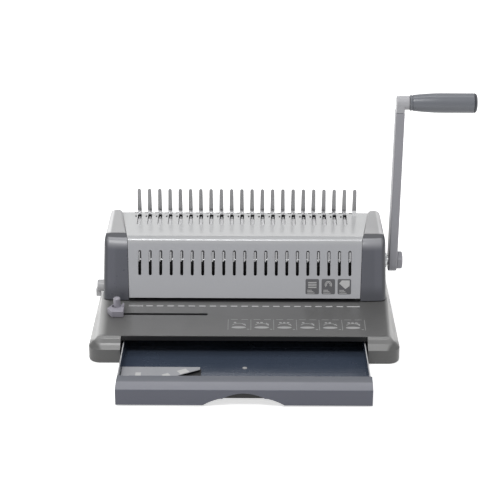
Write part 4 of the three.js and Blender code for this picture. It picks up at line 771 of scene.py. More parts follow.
# Rise, side inset, front inset and corner radius, as shares of their full sizes.
flank_shares = soften([
    (-1.0, 0.05, 0.03, 1.0), (-0.93, 0.0, 0.0, 1.0), (0.0, 0.0, 0.0, 1.0), (0.30, 0.34, 0.36, 0.84),
    (0.46, 0.56, 0.50, 0.74), (0.87, 0.87, 0.64, 0.6), (1.0, 1.0, 1.0, 0.4), (1.0, 1.16, 1.1, 0.36),
], 0.07)


def base_ring(rise, inset, front, radius, wall=0.0, flat_z=None, front_y=None):
    """One level: a rounded rectangle whose height follows the table where it has climbed past
    the vertical side, and whose sides draw in a little less towards the back."""
    radius = corner_radius * radius - wall * 0.5

    def half_at(y):
        """Half the width at a depth, less the side's inset there and the wall."""
        along = np.clip((y - table_edge_y) / (cover_foot_y - table_edge_y), 0, 1)
        return base_half - (side_inset_front + (side_inset_rear - side_inset_front) * along) * inset - wall

    near = base_low[1] + front_inset * front if front_y is None else front_y
    far = base_high[1] - rear_inset * inset - wall
    near_half, far_half = half_at(near), half_at(far)
    turn = math.pi / 2
    plan = np.concatenate([
        arc((-near_half + radius, near + radius), radius, 2 * turn, 3 * turn, corner_steps),
        arc((near_half - radius, near + radius), radius, 3 * turn, 4 * turn, corner_steps),
        [(half_at(cover_foot_y), cover_foot_y)],
        arc((far_half - radius, far - radius), radius, 0, turn, corner_steps),
        arc((-far_half + radius, far - radius), radius, turn, 2 * turn, corner_steps),
        [(-half_at(cover_foot_y), cover_foot_y)],
    ])
    climb = table_z(plan[:, 1]) - wall - base_side_z
    drop = base_side_z - skirt_z
    z = base_side_z + np.where(rise > 0, rise * climb, rise * drop)
    return at_height(plan, z if flat_z is None else flat_z)


def slit_prism(name, half_width, half_length, low, high):
    """The edge guide's slit, a slot that lies along X, carried from one height to another."""
    return prism(name, slot_outline(slit_middle, half_width, half_length)[:, ::-1], low, high, 2)


def base_shell():
    """The stack of rings, less its hollow with the drawer's bay left standing, and less the
    mouth, the window, the slit and a relief for the margin stop."""
    outside = loft("base_shell", [base_ring(*shares) for shares in flank_shares], fold_points)
    hollow_front, bay_back = table_edge_y + base_wall, bay_rear_y + bay_wall
    hollow = loft("hollow", [
        base_ring(0, 0, 0, 1, base_wall, -overrun, hollow_front),
        base_ring(0, 0, 0, 1, base_wall, base_side_z, hollow_front),
        base_ring(1, 1, 1, 0.4, base_wall, None, hollow_front),
    ], fold_points)
    outer = bay_half + bay_wall
    wall_plans = ((-outer, -bay_half, hollow_front - 1), (bay_half, outer, hollow_front - 1),
                  (-bay_half - 1, bay_half + 1, bay_rear_y))
    walls = [block("wall", (low, front, bay_wall_low), (high, bay_back, bay_wall_high))
             for low, high, front in wall_plans]
    combine(walls[0], [block("clamp_run", clamp_low, clamp_high)])
    combine(hollow, walls)
    front = base_low[1] - overrun
    mouth = block("mouth", (-bay_half, front, -overrun), (bay_half, hollow_front + 1, bay_top))
    gap = block("gap", (-bay_half, front - overrun, -2 * overrun), (bay_half, table_edge_y, gap_top))
    window = block("window", window_low, window_high)
    slit = slit_prism("slit", slit_half, slit_reach, slit_low, slit_high)
    relief = rod("relief", relief_radius, -base_half, relief_stop, (stop_y, stop_z))
    return complete(outside, [hollow, mouth, gap, window, slit, relief], 0.45, "base_cover")


base_shell()

# %% [markdown]
# ## Front cover and deck
# Both are bent sheets 1.5 mm thick whose edges follow the splayed end caps. A section is drawn
# once and carried across; because the sheet is wider towards the back, each point of the
# section gets its own half width. The slots that show the punches, and those for the hooks and
# fingers, are cut through afterwards, and a fine bevel gives each rim its bright line.

# %% Bent sheets
sheet, bend_radius = 1.5, 3.5
band_depth, hem_depth = 9.0, 9.0


def deck_point(along, depth):
    """A point measured from the top bend: along the deck and square into it."""
    return (cover_top_y + along * math.cos(deck_slope) + depth * math.sin(deck_slope),
            cover_top_z + along * math.sin(deck_slope) - depth * math.cos(deck_slope))


def sheet_between_caps(name, section):
    """A section of (y, z) points carried from cap to cap, each point with its own half width."""
    section = np.asarray(section, float)
    half = cap_inner_x(section[:, 0]) - seat
    return loft(name, [np.column_stack([side * half, section]) for side in (-1, 1)])


def cover_line(depth, steps=14):
    """The front cover's section at a depth below its face: hem, slope, bend and top band."""
    bend_angle = math.pi / 2 - body_lean - deck_slope
    reach = bend_radius * math.tan(bend_angle / 2)
    centre = (cover_top_y - reach * math.sin(body_lean) + bend_radius * math.cos(body_lean),
              cover_top_z - reach * math.cos(body_lean) - bend_radius * math.sin(body_lean))
    bend = arc(centre, bend_radius - depth, math.pi - body_lean, math.pi / 2 + deck_slope, steps)
    foot_y = face_y(cover_foot_z + depth) + depth / math.cos(body_lean)
    hem = [(cover_foot_y + hem_depth, cover_foot_z + depth), (foot_y, cover_foot_z + depth)]
    return np.concatenate([hem, bend, [deck_point(band_depth, depth)]])


def slot_cutters(half_width=2.0, half_length=17.1, middle_z=85.2):
    """A lying prism for each punch slot, square to the cover's face."""
    cutters = []
    along = np.array([0, math.sin(body_lean), math.cos(body_lean)])
    through = np.array([0, math.cos(body_lean), -math.sin(body_lean)])
    outline = slot_outline((0, 0), half_width, half_length)
    for index in range(slot_count):
        centre = np.array([slot_x(index), face_y(middle_z), middle_z])
        flat = centre + outline[:, :1] * np.array([1, 0, 0]) + outline[:, 1:] * along
        cutters.append(loft("slot", np.stack([flat - overrun * through, flat + overrun * through])))
    return gather("slots", cutters)


def front_sheet():
    """The section between its two depths, less the punch slots."""
    made = sheet_between_caps("front_sheet", np.concatenate([cover_line(0), cover_line(sheet)[::-1]]))
    return complete(made, [slot_cutters()], 0.3, "front_cover")


front_sheet()

# %% Deck
finger_y = float(np.mean([corner[1] for corner in box_mm("finger_plate")]))
finger_sheet = 1.6
deck_lip, deck_bend = 6.0, 2.5
hook_half, hook_front_y, hook_rear_y, hook_shift = 2.5, 57.0, 86.6, 0.6
finger_slot_left, finger_slot_right = 7, 3
hole_half, hole_reach, hole_y, hole_shift = 0.9, 2.6, 80.5, 4.6


def along_deck(y):
    """Distance from the top bend along the deck to a depth: the depth's run over the cosine."""
    return (y - cover_top_y) / math.cos(deck_slope)


def deck_frame_points(plan, height):
    """Points given across and along the deck, at a height square to it."""
    plan = np.asarray(plan, float)
    y = cover_top_y + plan[:, 1] * math.cos(deck_slope) - height * math.sin(deck_slope)
    z = cover_top_z + plan[:, 1] * math.sin(deck_slope) + height * math.cos(deck_slope)
    return np.column_stack([plan[:, 0], y, z])


def deck_prism(name, plan, low, high):
    """A plan across and along the deck, carried square to it from one height to another."""
    return loft(name, [deck_frame_points(plan, height) for height in (low, high)])


def deck_sheet():
    """The flat, a bend and a lip between two depths, less the slots of the fingers and hooks."""
    bend_at = deck_depth - deck_bend

    def line(depth):
        """The section's points (along, depth) at a depth below the deck's face."""
        bend = arc((bend_at, deck_bend), deck_bend - depth, -math.pi / 2, -deck_slope, 8)
        lip = (bend_at + (deck_bend - depth) * math.cos(deck_slope) + deck_lip * math.sin(deck_slope),
               deck_bend + deck_lip)
        return np.concatenate([[(band_depth + seat, depth)], bend, [lip]])

    profile = np.concatenate([line(0), line(sheet)[::-1]])
    section = np.array([deck_point(along, depth) for along, depth in profile])
    made = sheet_between_caps("deck_sheet", section)
    plans = []
    back = along_deck(finger_y + finger_sheet / 2 + seat)
    front = along_deck(finger_y - finger_sheet / 2 - seat)
    low, high = along_deck(hook_front_y), along_deck(hook_rear_y)
    for index in range(slot_count + 1):
        x = finger_x(index)
        left, right = x - finger_slot_left, x + finger_slot_right
        plans.append([(left, front), (right, front), (right, back), (left, back)])
        if index < slot_count:
            plans.append(slot_outline((x + hook_shift, (low + high) / 2), hook_half, (high - low) / 2))
            plans.append(slot_outline((x - hole_shift, along_deck(hole_y)), hole_half, hole_reach))
    cutters = [deck_prism("deck_slot", plan, -overrun, overrun) for plan in plans]
    return complete(made, [gather("deck_slots", cutters)], 0.25, "deck")


deck_sheet()

# %% [markdown]
# ## End caps, their light crests and the rear cover
# The end caps are dark mouldings that carry the cover's profile at both ends. Their rings run
# up from the table, lean back with the cover and draw in along a quarter ellipse at the
# shoulder. A light crest starts behind the shoulder and rounds down at the back.

# %% End caps
cap_foot_z, cap_lift, cap_wall = base_high[2] + seat, 1.1, 2.5
cap_shoulder, cap_draft, shoulder_start = 7.2, 0.4, 0.87
cap_front_proud, cap_bow = 0.4, 1.2
shoulder_draw, side_share = (1.15, 0.35), 0.2
split_y, split_depth = cover_top_y + band_depth + 7.4, 2.8
cap_corners = ((9.0, 2.0), (7.0, 1.75))
shaft_hole, stop_hole = (6.6, (shaft_y, shaft_z)), (3.6, (stop_y, stop_z))
hole_span, above_reach, above_height = (180.7, 198.0), 210, 20


def cap_ring(share, inset, wall=0.0, inner=None, steps=12):
    """One level of an end cap at a share of its height. The inner edge follows the splay. The
    front shoulder draws in less inside than outside, so the hook plate passes under it. The
    corners' radii, each with its least, lose the wall and half the inset."""
    front = face_y(cap_foot_z + share * (cover_top_z - cap_foot_z)) - cap_front_proud
    front += shoulder_draw[wall > 0] * inset + wall
    rear = cap_rear_y - inset - wall
    radius, rear_radius = (max(full - wall - inset / 2, least) for full, least in cap_corners)

    def outer_at(y):
        """The outer side: the tapered half width less the draft, which grows with share ** 4."""
        return cap_outer_x(y) - cap_draft * max(share, 0) ** 4 - side_share * inset - wall

    def inner_at(y):
        """The inner side: the splay, or one place where a form has to reach past it."""
        return cap_inner_x(y) if inner is None else inner

    swell = np.linspace(0, 1, 9)
    corner = outer_at(front) - radius
    bow = np.column_stack([
        inner_at(front) + (corner - inner_at(front)) * swell,
        front + cap_bow * (1 - np.sin((0.35 + 0.65 * swell) * math.pi)) - cap_bow / 2,
    ])
    plan = np.concatenate([
        bow[:-1],
        arc((corner, bow[-1, 1] + radius), radius, -math.pi / 2, 0, steps),
        arc((outer_at(rear) - rear_radius, rear - rear_radius), rear_radius, 0, math.pi / 2, steps),
        [(inner_at(rear), rear)],
    ])
    foot_z = cap_foot_z + cap_lift
    return at_height(plan, foot_z + share * (deck_z(plan[:, 1]) - wall - foot_z))


def foot_shade_band(side):
    """A black band set back under the cap's foot: painted shade in the gap under the cap."""
    solids = []
    for inset, inner, low, high in ((0.7, None, base_high[2] - 0.1, cap_foot_z + cap_lift + 0.3),
                                    (3.0, cap_inner_halves[0] - 15, 0, 60)):
        plan = on_side(side, cap_ring(0.0, inset, 0.0, inner))[:, :2]
        solids.append(loft("foot_shade_band", [at_height(plan, z) for z in (low, high)]))
    add_trim(combine(solids[0], solids[1:]), "machine", "plate_black")


def cap_shell(side):
    """Straight levels and a rounded shoulder, less the inside, the seat of the crest and a hole
    for the shaft or the stop."""
    levels = [(0.0, 0.0), (0.3, 0.0), (0.6, 0.0), *rounded_levels(shoulder_start, cap_shoulder, 0.99, 9)]
    outside = loft(sided("cap_shell", side), [on_side(side, cap_ring(*level)) for level in levels])
    far_in = cap_inner_halves[0] - 3 * overrun
    inner_levels = [(-0.1, 0.0)] + levels[1:]
    inside = loft("inside", [on_side(side, cap_ring(*level, cap_wall, far_in)) for level in inner_levels])
    behind = cap_rear_y + overrun
    split_z, behind_z = deck_z(split_y) - split_depth, deck_z(behind) - split_depth
    top_z = behind_z + above_height
    above_plan = [(split_y, split_z), (behind, behind_z), (behind, top_z), (split_y, top_z)]
    above = prism("above", above_plan, *sorted((0, side * above_reach)), 0)
    radius, centre = shaft_hole if side > 0 else stop_hole
    hole = rod("hole", radius, *sorted(side * x for x in hole_span), centre)
    return complete(outside, [inside, above, hole], 0.35, sided("end_cap", side))


for side in (-1, 1):
    cap_shell(side)
    foot_shade_band(side)


# %% Light crests
crest_front, crest_low, crest_high = split_y + seat, 0.7, 7.0
crest_fall, fall_share, crest_inset = 15.0, 0.77, 0.4


def crest_ring(y):
    """A section across X: it rises over the deck's plane along a sine and falls away at the back
    along a circle, with a wide elliptical outer shoulder and a narrow inner one."""
    along = (y - crest_front) / (cap_rear_y - crest_front)
    rise = crest_low + (crest_high - crest_low) * math.sin(along * math.pi / 2)
    past = max(0.0, y - (cap_rear_y - crest_fall))
    fall = crest_fall - math.sqrt(crest_fall ** 2 - (past * fall_share) ** 2)
    top = deck_z(y) + rise - fall
    bottom = deck_z(y) - split_depth + seat
    inner = cap_inner_x(y)
    outer = cap_outer_x(y) - cap_draft - crest_inset
    height, width = top - bottom, outer - inner
    reach, drop = min(7.0, width * 0.45), height * 0.85
    inner_radius = min(4.5, height * 0.7, width * 0.35)
    section = np.concatenate([
        [(inner, bottom), (outer, bottom)],
        quarter_ellipse((outer - reach, top - drop), reach, drop, 12),
        arc((inner + inner_radius, top - inner_radius), inner_radius, math.pi / 2, math.pi, 8),
    ])
    return np.column_stack([section[:, 0], np.full(len(section), y), section[:, 1]])


def crest(side):
    """Sections from front to back, closer together where the back rounds down."""
    shares = np.concatenate([np.linspace(0, 0.8, 14), np.linspace(0.82, 1, 16)])
    places = crest_front + shares * (cap_rear_y - crest_front)
    made = loft(sided("crest", side), [on_side(side, crest_ring(y)) for y in places])
    round_edges(made, 0.4, sharper_than=50)
    return dress(made, sided("cap_top", side), finish="crest_grey")


for side in (-1, 1):
    crest(side)

# %% Rear cover
rear_wall, rear_corner, rear_top_round = 2.2, 9.0, 5.0
rear_reach, rear_draw, rear_drop, rear_round_start = 18, 11, 3.6, 0.92


def rear_ring(share, inset, wall, front_y, steps=12):
    """A level of the shallow shell behind the deck; it gets shallower towards its top."""
    top_z = deck_z(cap_rear_y) - rear_drop - wall
    rear = cap_rear_y + rear_reach - rear_draw * share - inset - wall
    half = cap_outer_x(cap_rear_y) - cap_draft * share - inset - wall
    radius = min(rear_corner - wall / 2, (rear - cap_rear_y) * 0.9)
    plan = np.concatenate([
        [(-half, front_y), (half, front_y)],
        arc((half - radius, rear - radius), radius, 0, math.pi / 2, steps),
        arc((-half + radius, rear - radius), radius, math.pi / 2, math.pi, steps),
    ])
    return at_height(plan, cap_foot_z + share * (top_z - cap_foot_z))


def rear_shell():
    """Straight levels, a rounded top edge and a flat top, less the inside."""
    front = cap_rear_y + seat
    levels = [(0.0, 0.0), (0.5, 0.0), *rounded_levels(rear_round_start, rear_top_round, 0.97, 8),
              (1.0, rear_top_round * 0.8)]
    outside = loft("rear_shell", [rear_ring(share, inset, 0.0, front) for share, inset in levels])
    inside = loft("inside", [rear_ring(share, inset, rear_wall, front - overrun)
                             for share, inset in ((-0.1, 0.0), (rear_round_start, 0.0), (1.0, 2.5))])
    return complete(outside, [inside], 0.4, "rear_cover")


rear_shell()

# %% [markdown]
# ## Lever
# The arm is a cast bar that tapers from a round hub to the elbow. It leans back a little at
# rest, so its pieces are drawn upright about the shaft and then turned by that lean.

# %% Lever
lever_length, lever_lean = 234.0, math.radians(4.9)
arm_inner, arm_outer = box_mm("lever_arm")[0][0] + 1.7, box_mm("lever_arm")[1][0]
bore_radius, bore_start, bore_stop = 4.3, 205.7, 292.6


def lean_lever(target, height=0.0):
    """A piece drawn about the shaft's axis goes up the arm by a height, leans and moves to the
    shaft."""
    target.data.transform(Matrix.Translation((0, 0, height * mm)))
    lean = Matrix.Rotation(lever_lean, 4, "X")
    target.data.transform(Matrix.Translation((0, shaft_y * mm, shaft_z * mm)) @ lean)
    return target


def arm():
    """Its sides touch the hub's circle: they lean in by the arc sine of the hub's extra radius
    over the arm's length."""
    hub, top_half, edge = 15.0, 9.3, 1.6
    top_z = lever_length - 11 - seat
    tilt = math.asin((hub - top_half) / top_z)
    outline = np.concatenate([
        [(top_half, top_z), (-top_half, top_z)],
        arc((0, 0), hub, math.pi - tilt, 2 * math.pi + tilt, 48),
    ])
    made = prism("arm", outline, arm_inner, arm_outer, 0)
    combine(made, [rod("bore", 6.3, arm_inner - overrun, arm_outer + overrun, (0, 0))])
    round_edges(made, edge, 5)
    return dress(lean_lever(made), "lever_arm")


def hexagon_cap():
    """A six-sided cap with its outer face chamfered round, as on a large cap nut."""
    low, high = box_mm("pivot_cap")
    inner, outer = low[0], high[0]
    radius = 13.6
    sides = arc((0, 0), radius, math.pi / 2, 2.5 * math.pi, 6)[:-1]
    made = prism("pivot_nut", sides, inner, outer, 0)
    lens = turned("lens", [(0, inner - 1), (radius * 1.1, inner - 1), (radius * 1.1, outer - 3.2),
                           (radius * 0.8, outer), (0, outer + 0.1)], (0, 0))
    combine(made, [lens], "INTERSECT")
    round_edges(made, 0.5, 3)
    return dress(lean_lever(made), "pivot_cap")


def elbow():
    """A barrel at right angles to the arm with a neck that stands on it."""
    inner, outer = arm_inner + 0.3, box_mm("lever_elbow")[1][0]
    radius, edge = 9.3, 2.2
    profile = np.concatenate([
        [(0, inner)], arc((radius - edge, inner + edge), edge, -math.pi / 2, 0, 8),
        [(radius, outer - 0.4), (radius - 0.4, outer), (0, outer)]])
    barrel = turned("elbow", profile, (0, 0))
    plan = rounded_rectangle((inner, -radius + 0.05), (arm_outer - 0.3, radius - 0.05), 1.4)
    neck = prism("neck", plan, -11, 0, 2)
    combine(barrel, [neck], "UNION")
    combine(barrel, [rod("bore", bore_radius, bore_start, outer + overrun, (0, 0))])
    return dress(lean_lever(barrel, lever_length), "lever_elbow", finish="elbow_grey")


arm()
hexagon_cap()
elbow()

# %% Grip
grip_inner, grip_outer = box_mm("grip")[0][0], box_mm("grip")[1][0]


def grip_body():
    """The handle swells along a quarter sine from its neck to 48% of its length, then runs
    straight to a thin groove before its end, whose darker finish is painted shade."""
    slim, full = 10.8, 13.15
    length = grip_outer - grip_inner
    share = np.linspace(0, 1, 24)
    swell = np.column_stack([slim + (full - slim) * np.sin(share * math.pi / 2),
                             grip_inner + 4.3 + share * (0.48 * length - 4.3)])
    end = grip_outer - 4.2
    profile = np.concatenate([
        [(0, grip_inner), (9.8, grip_inner), (10.5, grip_inner + 0.6), (10.5, grip_inner + 2.8),
         (9.7, grip_inner + 3.1), (9.7, grip_inner + 3.7), (10.6, grip_inner + 4.0)], swell,
        [(full, end - 0.6), (full - 0.15, end - 0.15), (full - 0.6, end), (0, end)]])
    made = turned("grip_body", profile, (0, 0), 96)
    combine(made, [rod("bore", bore_radius, grip_inner - overrun, bore_stop, (0, 0))])
    return dress(lean_lever(made, lever_length), "grip")


def grip_end():
    """A disc with a quarter ellipse as its outer edge, in the caps' darker finish: painted shade."""
    full, start, round_in, round_out = 13.1, grip_outer - 4.0, 3.6, 3.2
    edge = quarter_ellipse((full - round_in, grip_outer - round_out), round_in, round_out, 11)
    profile = [(0, start), (full - 0.5, start), (full, start + 0.4), *edge, (0, grip_outer)]
    made = turned("grip_end", profile, (0, 0), 96)
    return add_trim(lean_lever(made, lever_length), "grip", "cap_blue_grey")


grip_body()
grip_end()

# %% [markdown]
# ## Drawer
# The chip drawer has a deep front with a wide notch for the fingers, and a tray behind it. The
# front is a hollow moulding, so it is drawn as a section and its inside is cut from below.

# %% Drawer front
drawer_low, drawer_high = box_mm("drawer_front")
drawer_half, drawer_y = drawer_high[0], drawer_low[1]
side_draw = (0.9, 1.2)
tray_wall = 1.8


def drawer_face():
    """The outer section less the inner one, the notch and a shallow scoop over it. The left side
    then draws in towards the rim: each point moves by its share of the way to the left end."""
    wall, foot = 2.2, drawer_low[2]
    rim_y, rim_z, chamfer_y, chamfer_z, face_z = 22.6, drawer_high[2], 10.1, 28.0, 21.8
    outer = np.array([(0, foot), (rim_y, foot + 2.5), (rim_y, rim_z), (chamfer_y, chamfer_z), (0, face_z)])
    inner = np.array([(wall, -overrun), (rim_y - wall, -overrun), (rim_y - wall, rim_z - wall * 1.15),
                      (chamfer_y, chamfer_z - wall * 1.15), (wall, face_z - wall * 0.7)])
    made = prism("drawer_face", outer + (drawer_y, 0), -drawer_half, drawer_half, 0)
    hollow = prism("hollow", inner + (drawer_y, 0), wall - drawer_half, drawer_half - wall, 0)
    notch_foot, notch_top, notch_z = 50.2, 29.0, 9.6
    out = np.linspace(0, 1, 14)
    up = 1 - 0.5 * out - 0.5 * out ** 2
    shoulder = np.column_stack([notch_top + (notch_foot - notch_top) * out, foot + (notch_z - foot) * up])
    notch = np.concatenate([shoulder[::-1] * (-1, 1), shoulder,
                            [(notch_foot, -overrun), (-notch_foot, -overrun)]])
    share = np.linspace(0, 1, 20)
    scoop_half, scoop_rise, scoop_foot = 26, 7.4, notch_z - 0.4
    scoop_top = np.column_stack([scoop_half * (1 - 2 * share),
                                 notch_z + scoop_rise * np.sin(share * math.pi) ** 0.75])
    scoop = np.concatenate([[(-scoop_half, scoop_foot), (scoop_half, scoop_foot)], scoop_top])
    through = prism("notch", notch, drawer_y - overrun, drawer_y + wall + overrun, 1)
    shallow = prism("scoop", scoop, drawer_y - overrun, drawer_y + wall + 0.2, 1)
    combine(made, [hollow, through, shallow])
    round_edges(made, 0.6, 3)
    places = np.empty(len(made.data.vertices) * 3)
    made.data.vertices.foreach_get("co", places)
    places = places.reshape(-1, 3)
    back = (places[:, 1] / mm - drawer_y) / rim_y
    left_share = np.clip(-places[:, 0] / mm / drawer_half, 0, 1)
    places[:, 0] += (side_draw[0] + side_draw[1] * np.clip(back, 0, 1)) * left_share * mm
    made.data.vertices.foreach_set("co", places.ravel())
    # A black block behind the scoop: painted shade in the recess over the notch.
    behind = drawer_y + wall
    scoop_shade = block("scoop_shade", (-scoop_half - 1, behind + 0.3, notch_z),
                       (scoop_half + 1, behind + 1.1, notch_z + scoop_rise + 1))
    add_trim(scoop_shade, "drawer", "plate_black")
    return dress(made, "drawer_front")


def drawer_tray():
    """A box with round corners, less a smaller one that starts a wall above its floor."""
    low, high = box_mm("drawer_tray")
    wall = tray_wall
    made = prism("tray", rounded_rectangle(low[:2], high[:2], 3.0), low[2], high[2], 2)
    inside = prism("inside", rounded_rectangle(low[:2] + wall, high[:2] - wall, 2.1),
                   low[2] + wall, high[2] + overrun, 2)
    return complete(made, [inside], 0.4, "drawer_tray")


drawer_face()
drawer_tray()

# %% [markdown]
# ## Fingers
# Twenty-two steel fingers hold the comb open. They are cut from one sheet, and each tapers to a
# rounded tip. One outline runs along the whole comb, so the sheet is a single prism.

# %% Finger plate
finger_root, finger_tip = 3.15, 2.5
finger_top_z, finger_shoulder_z, finger_plate_z = 162.0, 121.0, 96.0


def finger_outline(x):
    """One finger: straight sides that draw in from root to tip, and a half circle on top."""
    tip = arc((x, finger_top_z - finger_tip), finger_tip, math.pi, 0, 8)
    return np.concatenate([[(x - finger_root, finger_shoulder_z)], tip,
                           [(x + finger_root, finger_shoulder_z)]])


def finger_comb():
    """The fingers' outlines in a row, closed by the plate's foot."""
    low, high = box_mm("finger_plate")
    outline = np.concatenate(
        [[(low[0], finger_shoulder_z)]]
        + [finger_outline(finger_x(index)) for index in range(slot_count + 1)]
        + [[(high[0], finger_shoulder_z), (high[0], finger_plate_z), (low[0], finger_plate_z)]]
    )
    made = prism("finger_comb", outline, low[1], high[1], 1)
    round_edges(made, 0.3)
    return dress(made, "finger_plate", finish="finger_steel")


finger_comb()

# %% [markdown]
# ## Hook tongues
# In front of each hook a bright tongue lies in the slot, just under the deck, and slides with
# it. The dark gaps round the tongue draw the slot's outline.

# %% Hook tongues
tongue_places = ((2.1, 60.2, 77.4), (1.2, 78.6, 83.2))
tongue_top, tongue_foot = -1.85, -2.95


def tongue(x, half, front_y, rear_y):
    """A strip with round corners, square to the deck between two heights under it."""
    plan = rounded_rectangle((x - half, along_deck(front_y)), (x + half, along_deck(rear_y)), 1.1, 4)
    return deck_prism("tongue", plan, tongue_foot, tongue_top)


tongues = [tongue(finger_x(index) + hook_shift, *place)
           for index in range(slot_count) for place in tongue_places]
add_trim(round_edges(gather("hook_tongues", tongues), 0.2), "hooks", "tongue_steel")

# %% [markdown]
# ## Pin faces
# A polished face on each punch pin leans back a little behind its slot. The lean makes it mirror
# the white paper in front of the machine, so the upper halves of the slots look bright, and the
# dark gap beside it draws the slot's edge. Below each face a small near-white block is a painted
# highlight.

# %% Pin faces
face_foot, face_head, face_half, face_sheet = (11.4, 86.9), (14.0, 98.9), 1.2, 0.6
shoulder_low, shoulder_high = (11.0, 85.2), (12.2, 87.4)


def pin_shift(x):
    """The faces stand a little left of their slots at the left end and right of them at the right."""
    return x - 0.42 + 0.0064 * x


face_line = np.array([face_foot, face_head])
face_section = np.concatenate([face_line, face_line[::-1] + (face_sheet, 0)])
pin_places = [pin_shift(slot_x(index)) for index in range(slot_count)]
pin_faces = [prism("pin_face", face_section, x - face_half, x + face_half, 0) for x in pin_places]
add_trim(round_edges(gather("pin_faces", pin_faces), 0.15), "punches", "mirror_steel")
# Near-white blocks under the faces: painted highlights.
highlight_blocks = [block("shoulder", (x - face_half - 0.3, *shoulder_low), (x + 0.5, *shoulder_high))
             for x in pin_places]
add_trim(round_edges(gather("pin_highlight_blocks", highlight_blocks), 0.2), "punches", "pin_steel")

# %% [markdown]
# ## Margin knob
# The knob at the left turns an eccentric stop in the throat. It is a disc with a thumb tab
# below it that hangs in front of the end cap's flank.


# %% Margin knob
def margin_knob():
    """A turned disc joined to a tab, with a bore for the stop."""
    low, high = box_mm("margin_knob")
    outer, inner = low[0] + 0.1, high[0]
    disc = turned("thumb_knob", [(0, inner), (8, inner), (8, outer + 2.6), (7.4, outer + 2.0),
                                 (0, outer + 2.0)], (stop_y, stop_z))
    tab = prism("tab", rounded_rectangle((stop_y - 4.2, stop_z - 15), (stop_y + 4.2, stop_z - 3.6), 1.6),
                outer, outer + 6.4, 0)
    combine(disc, [tab], "UNION")
    bore = rod("bore", 3.4, inner - 3, inner + overrun, (stop_y, stop_z))
    return complete(disc, [bore], 0.5, "margin_knob", 3)


margin_knob()

# %% [markdown]
# ## Small parts
# The remaining plain parts are sound as they are: a copy with its doubles merged and its edges
# rounded is enough to turn a faceted solid into a stamped or turned piece.

# %% Finished copies
edge_widths = {
    "hook_plate": 0.25, "hook_rack_left": 0.2, "hook_rack_right": 0.2,
    "edge_guide": 0.5, "guide_post": 0.4, "guide_clamp": 0.4, "comb_gauge": 0.4, "base_plate": 0.4,
    "side_frame_left": 0.2, "side_frame_right": 0.2, "shaft_bush_left": 0.2, "shaft_bush_right": 0.2,
    "pin_guide": 0.2, "die_plate": 0.2, "punch_comb": 0.15, "margin_stop": 0.2,
    "lever_collar": 0.3, "cross_shaft": 0, "tie_rod": 0, "grip_pin": 0,
    "foot_front_left": 0.3, "foot_front_right": 0.3, "foot_rear_left": 0.3, "foot_rear_right": 0.3,
}
own_finish = {"hook_plate": "hook_steel", "punch_comb": "gear_steel", "comb_gauge": "gauge_grey"}
for node, width in edge_widths.items():
    made = finished_copy(node, width, finish=own_finish.get(node))
    if node == "guide_post":
        made.data.transform(Matrix.Translation((1.9 * mm, 0, 0)))

# %% [markdown]
# ## Trims
# Thin black strips paint the shade in the openings: in the throat under the cover, on the edge
# over the drawer's mouth and round the edge guide's slit. A black plate under the comb gauge
# paints its shadow. The tray's side walls carry light strips on top, and its floor has shallow ribs.

# %% Throat, mouth, slit and drawer trims
def lay_on_table(plan, height):
    """Z is the table's own height plus a height."""
    return at_height(plan, table_z(plan[:, 1]) + height)


def table_sheet(name, plan, low, high):
    """A plate that follows the table: its z is the table's height plus low or high."""
    return loft(name, [lay_on_table(plan, height) for height in (low, high)])


# A black strip on the table under the cover's foot: painted shade in the throat.
throat = rounded_rectangle((-157, cover_foot_y - 3.2), (157, cover_foot_y + 20), 1.0)
add_trim(table_sheet("throat_shade_strip", throat, -0.2, 0.25), "machine", "plate_black")

# A black strip on the table's edge over the drawer's mouth: painted shade on the lip.
mouth_shade_strip = block("mouth_shade_strip", (-bay_half + 0.3, table_edge_y - 0.4, bay_top + 0.1),
                   (bay_half - 0.3, table_edge_y + 0.1, table_front_z - 0.7))
add_trim(round_edges(mouth_shade_strip, 0.12), "machine", "plate_black")

# A black liner and channel at the edge guide's slit: painted shade in the slit.
liner = slit_prism("slit_shade_liner", 2.95, 64.25, 31.0, 33.7)
add_trim(combine(liner, [slit_prism("bore", 2.57, 63.85, 30, 40)]), "machine", "plate_black")
slit_shade_channel = block("slit_shade_channel", (-178, -52, 25.2), (-47, -44, 26.4))
add_trim(slit_shade_channel, "machine", "plate_black")

tray_low, tray_high = box_mm("drawer_tray")
gauge_low, gauge_high = box_mm("comb_gauge")
tray_floor_z = tray_low[2] + tray_wall
# A black plate under the comb gauge: painted shadow beside its slanted edge.
gauge_shadow = block("gauge_shadow_plate", (*gauge_low[:2], tray_floor_z - 0.1),
               (gauge_high[0] + 1.5, gauge_high[1] - 1.0, tray_floor_z + 0.15))
add_trim(gauge_shadow, "drawer", "plate_black")
for side in (-1, 1):
    x = side * (tray_high[0] - 0.9)
    # Light strips along the tops of the tray's side walls.
    top_strip = block("tray_top_strip", (x - 0.7, tray_low[1] + 2, tray_high[2] - 0.1),
                   (x + 0.7, tray_high[1] - 2, tray_high[2] + 0.25))
    add_trim(round_edges(top_strip, 0.15), "drawer", "light_grey")

rib_places = np.linspace(tray_low[1] + 12, tray_high[1] - 12, 15)
ribs = [block("rib", (tray_low[0] + 4, y - 0.5, tray_floor_z - 0.1),
              (tray_high[0] - 4, y + 0.5, tray_floor_z + 0.12)) for y in rib_places]
add_trim(gather("tray_ribs", ribs), "drawer", "drawer_blue")

# %% [markdown]
# ## Screws
# Cross-headed screws hold the rear cover and the end caps. One head is turned and its cross cut
# once, and each screw is a copy of that mesh turned to its place.

# %% Screws
screw_radius, screw_rise = 3.4, 1.5


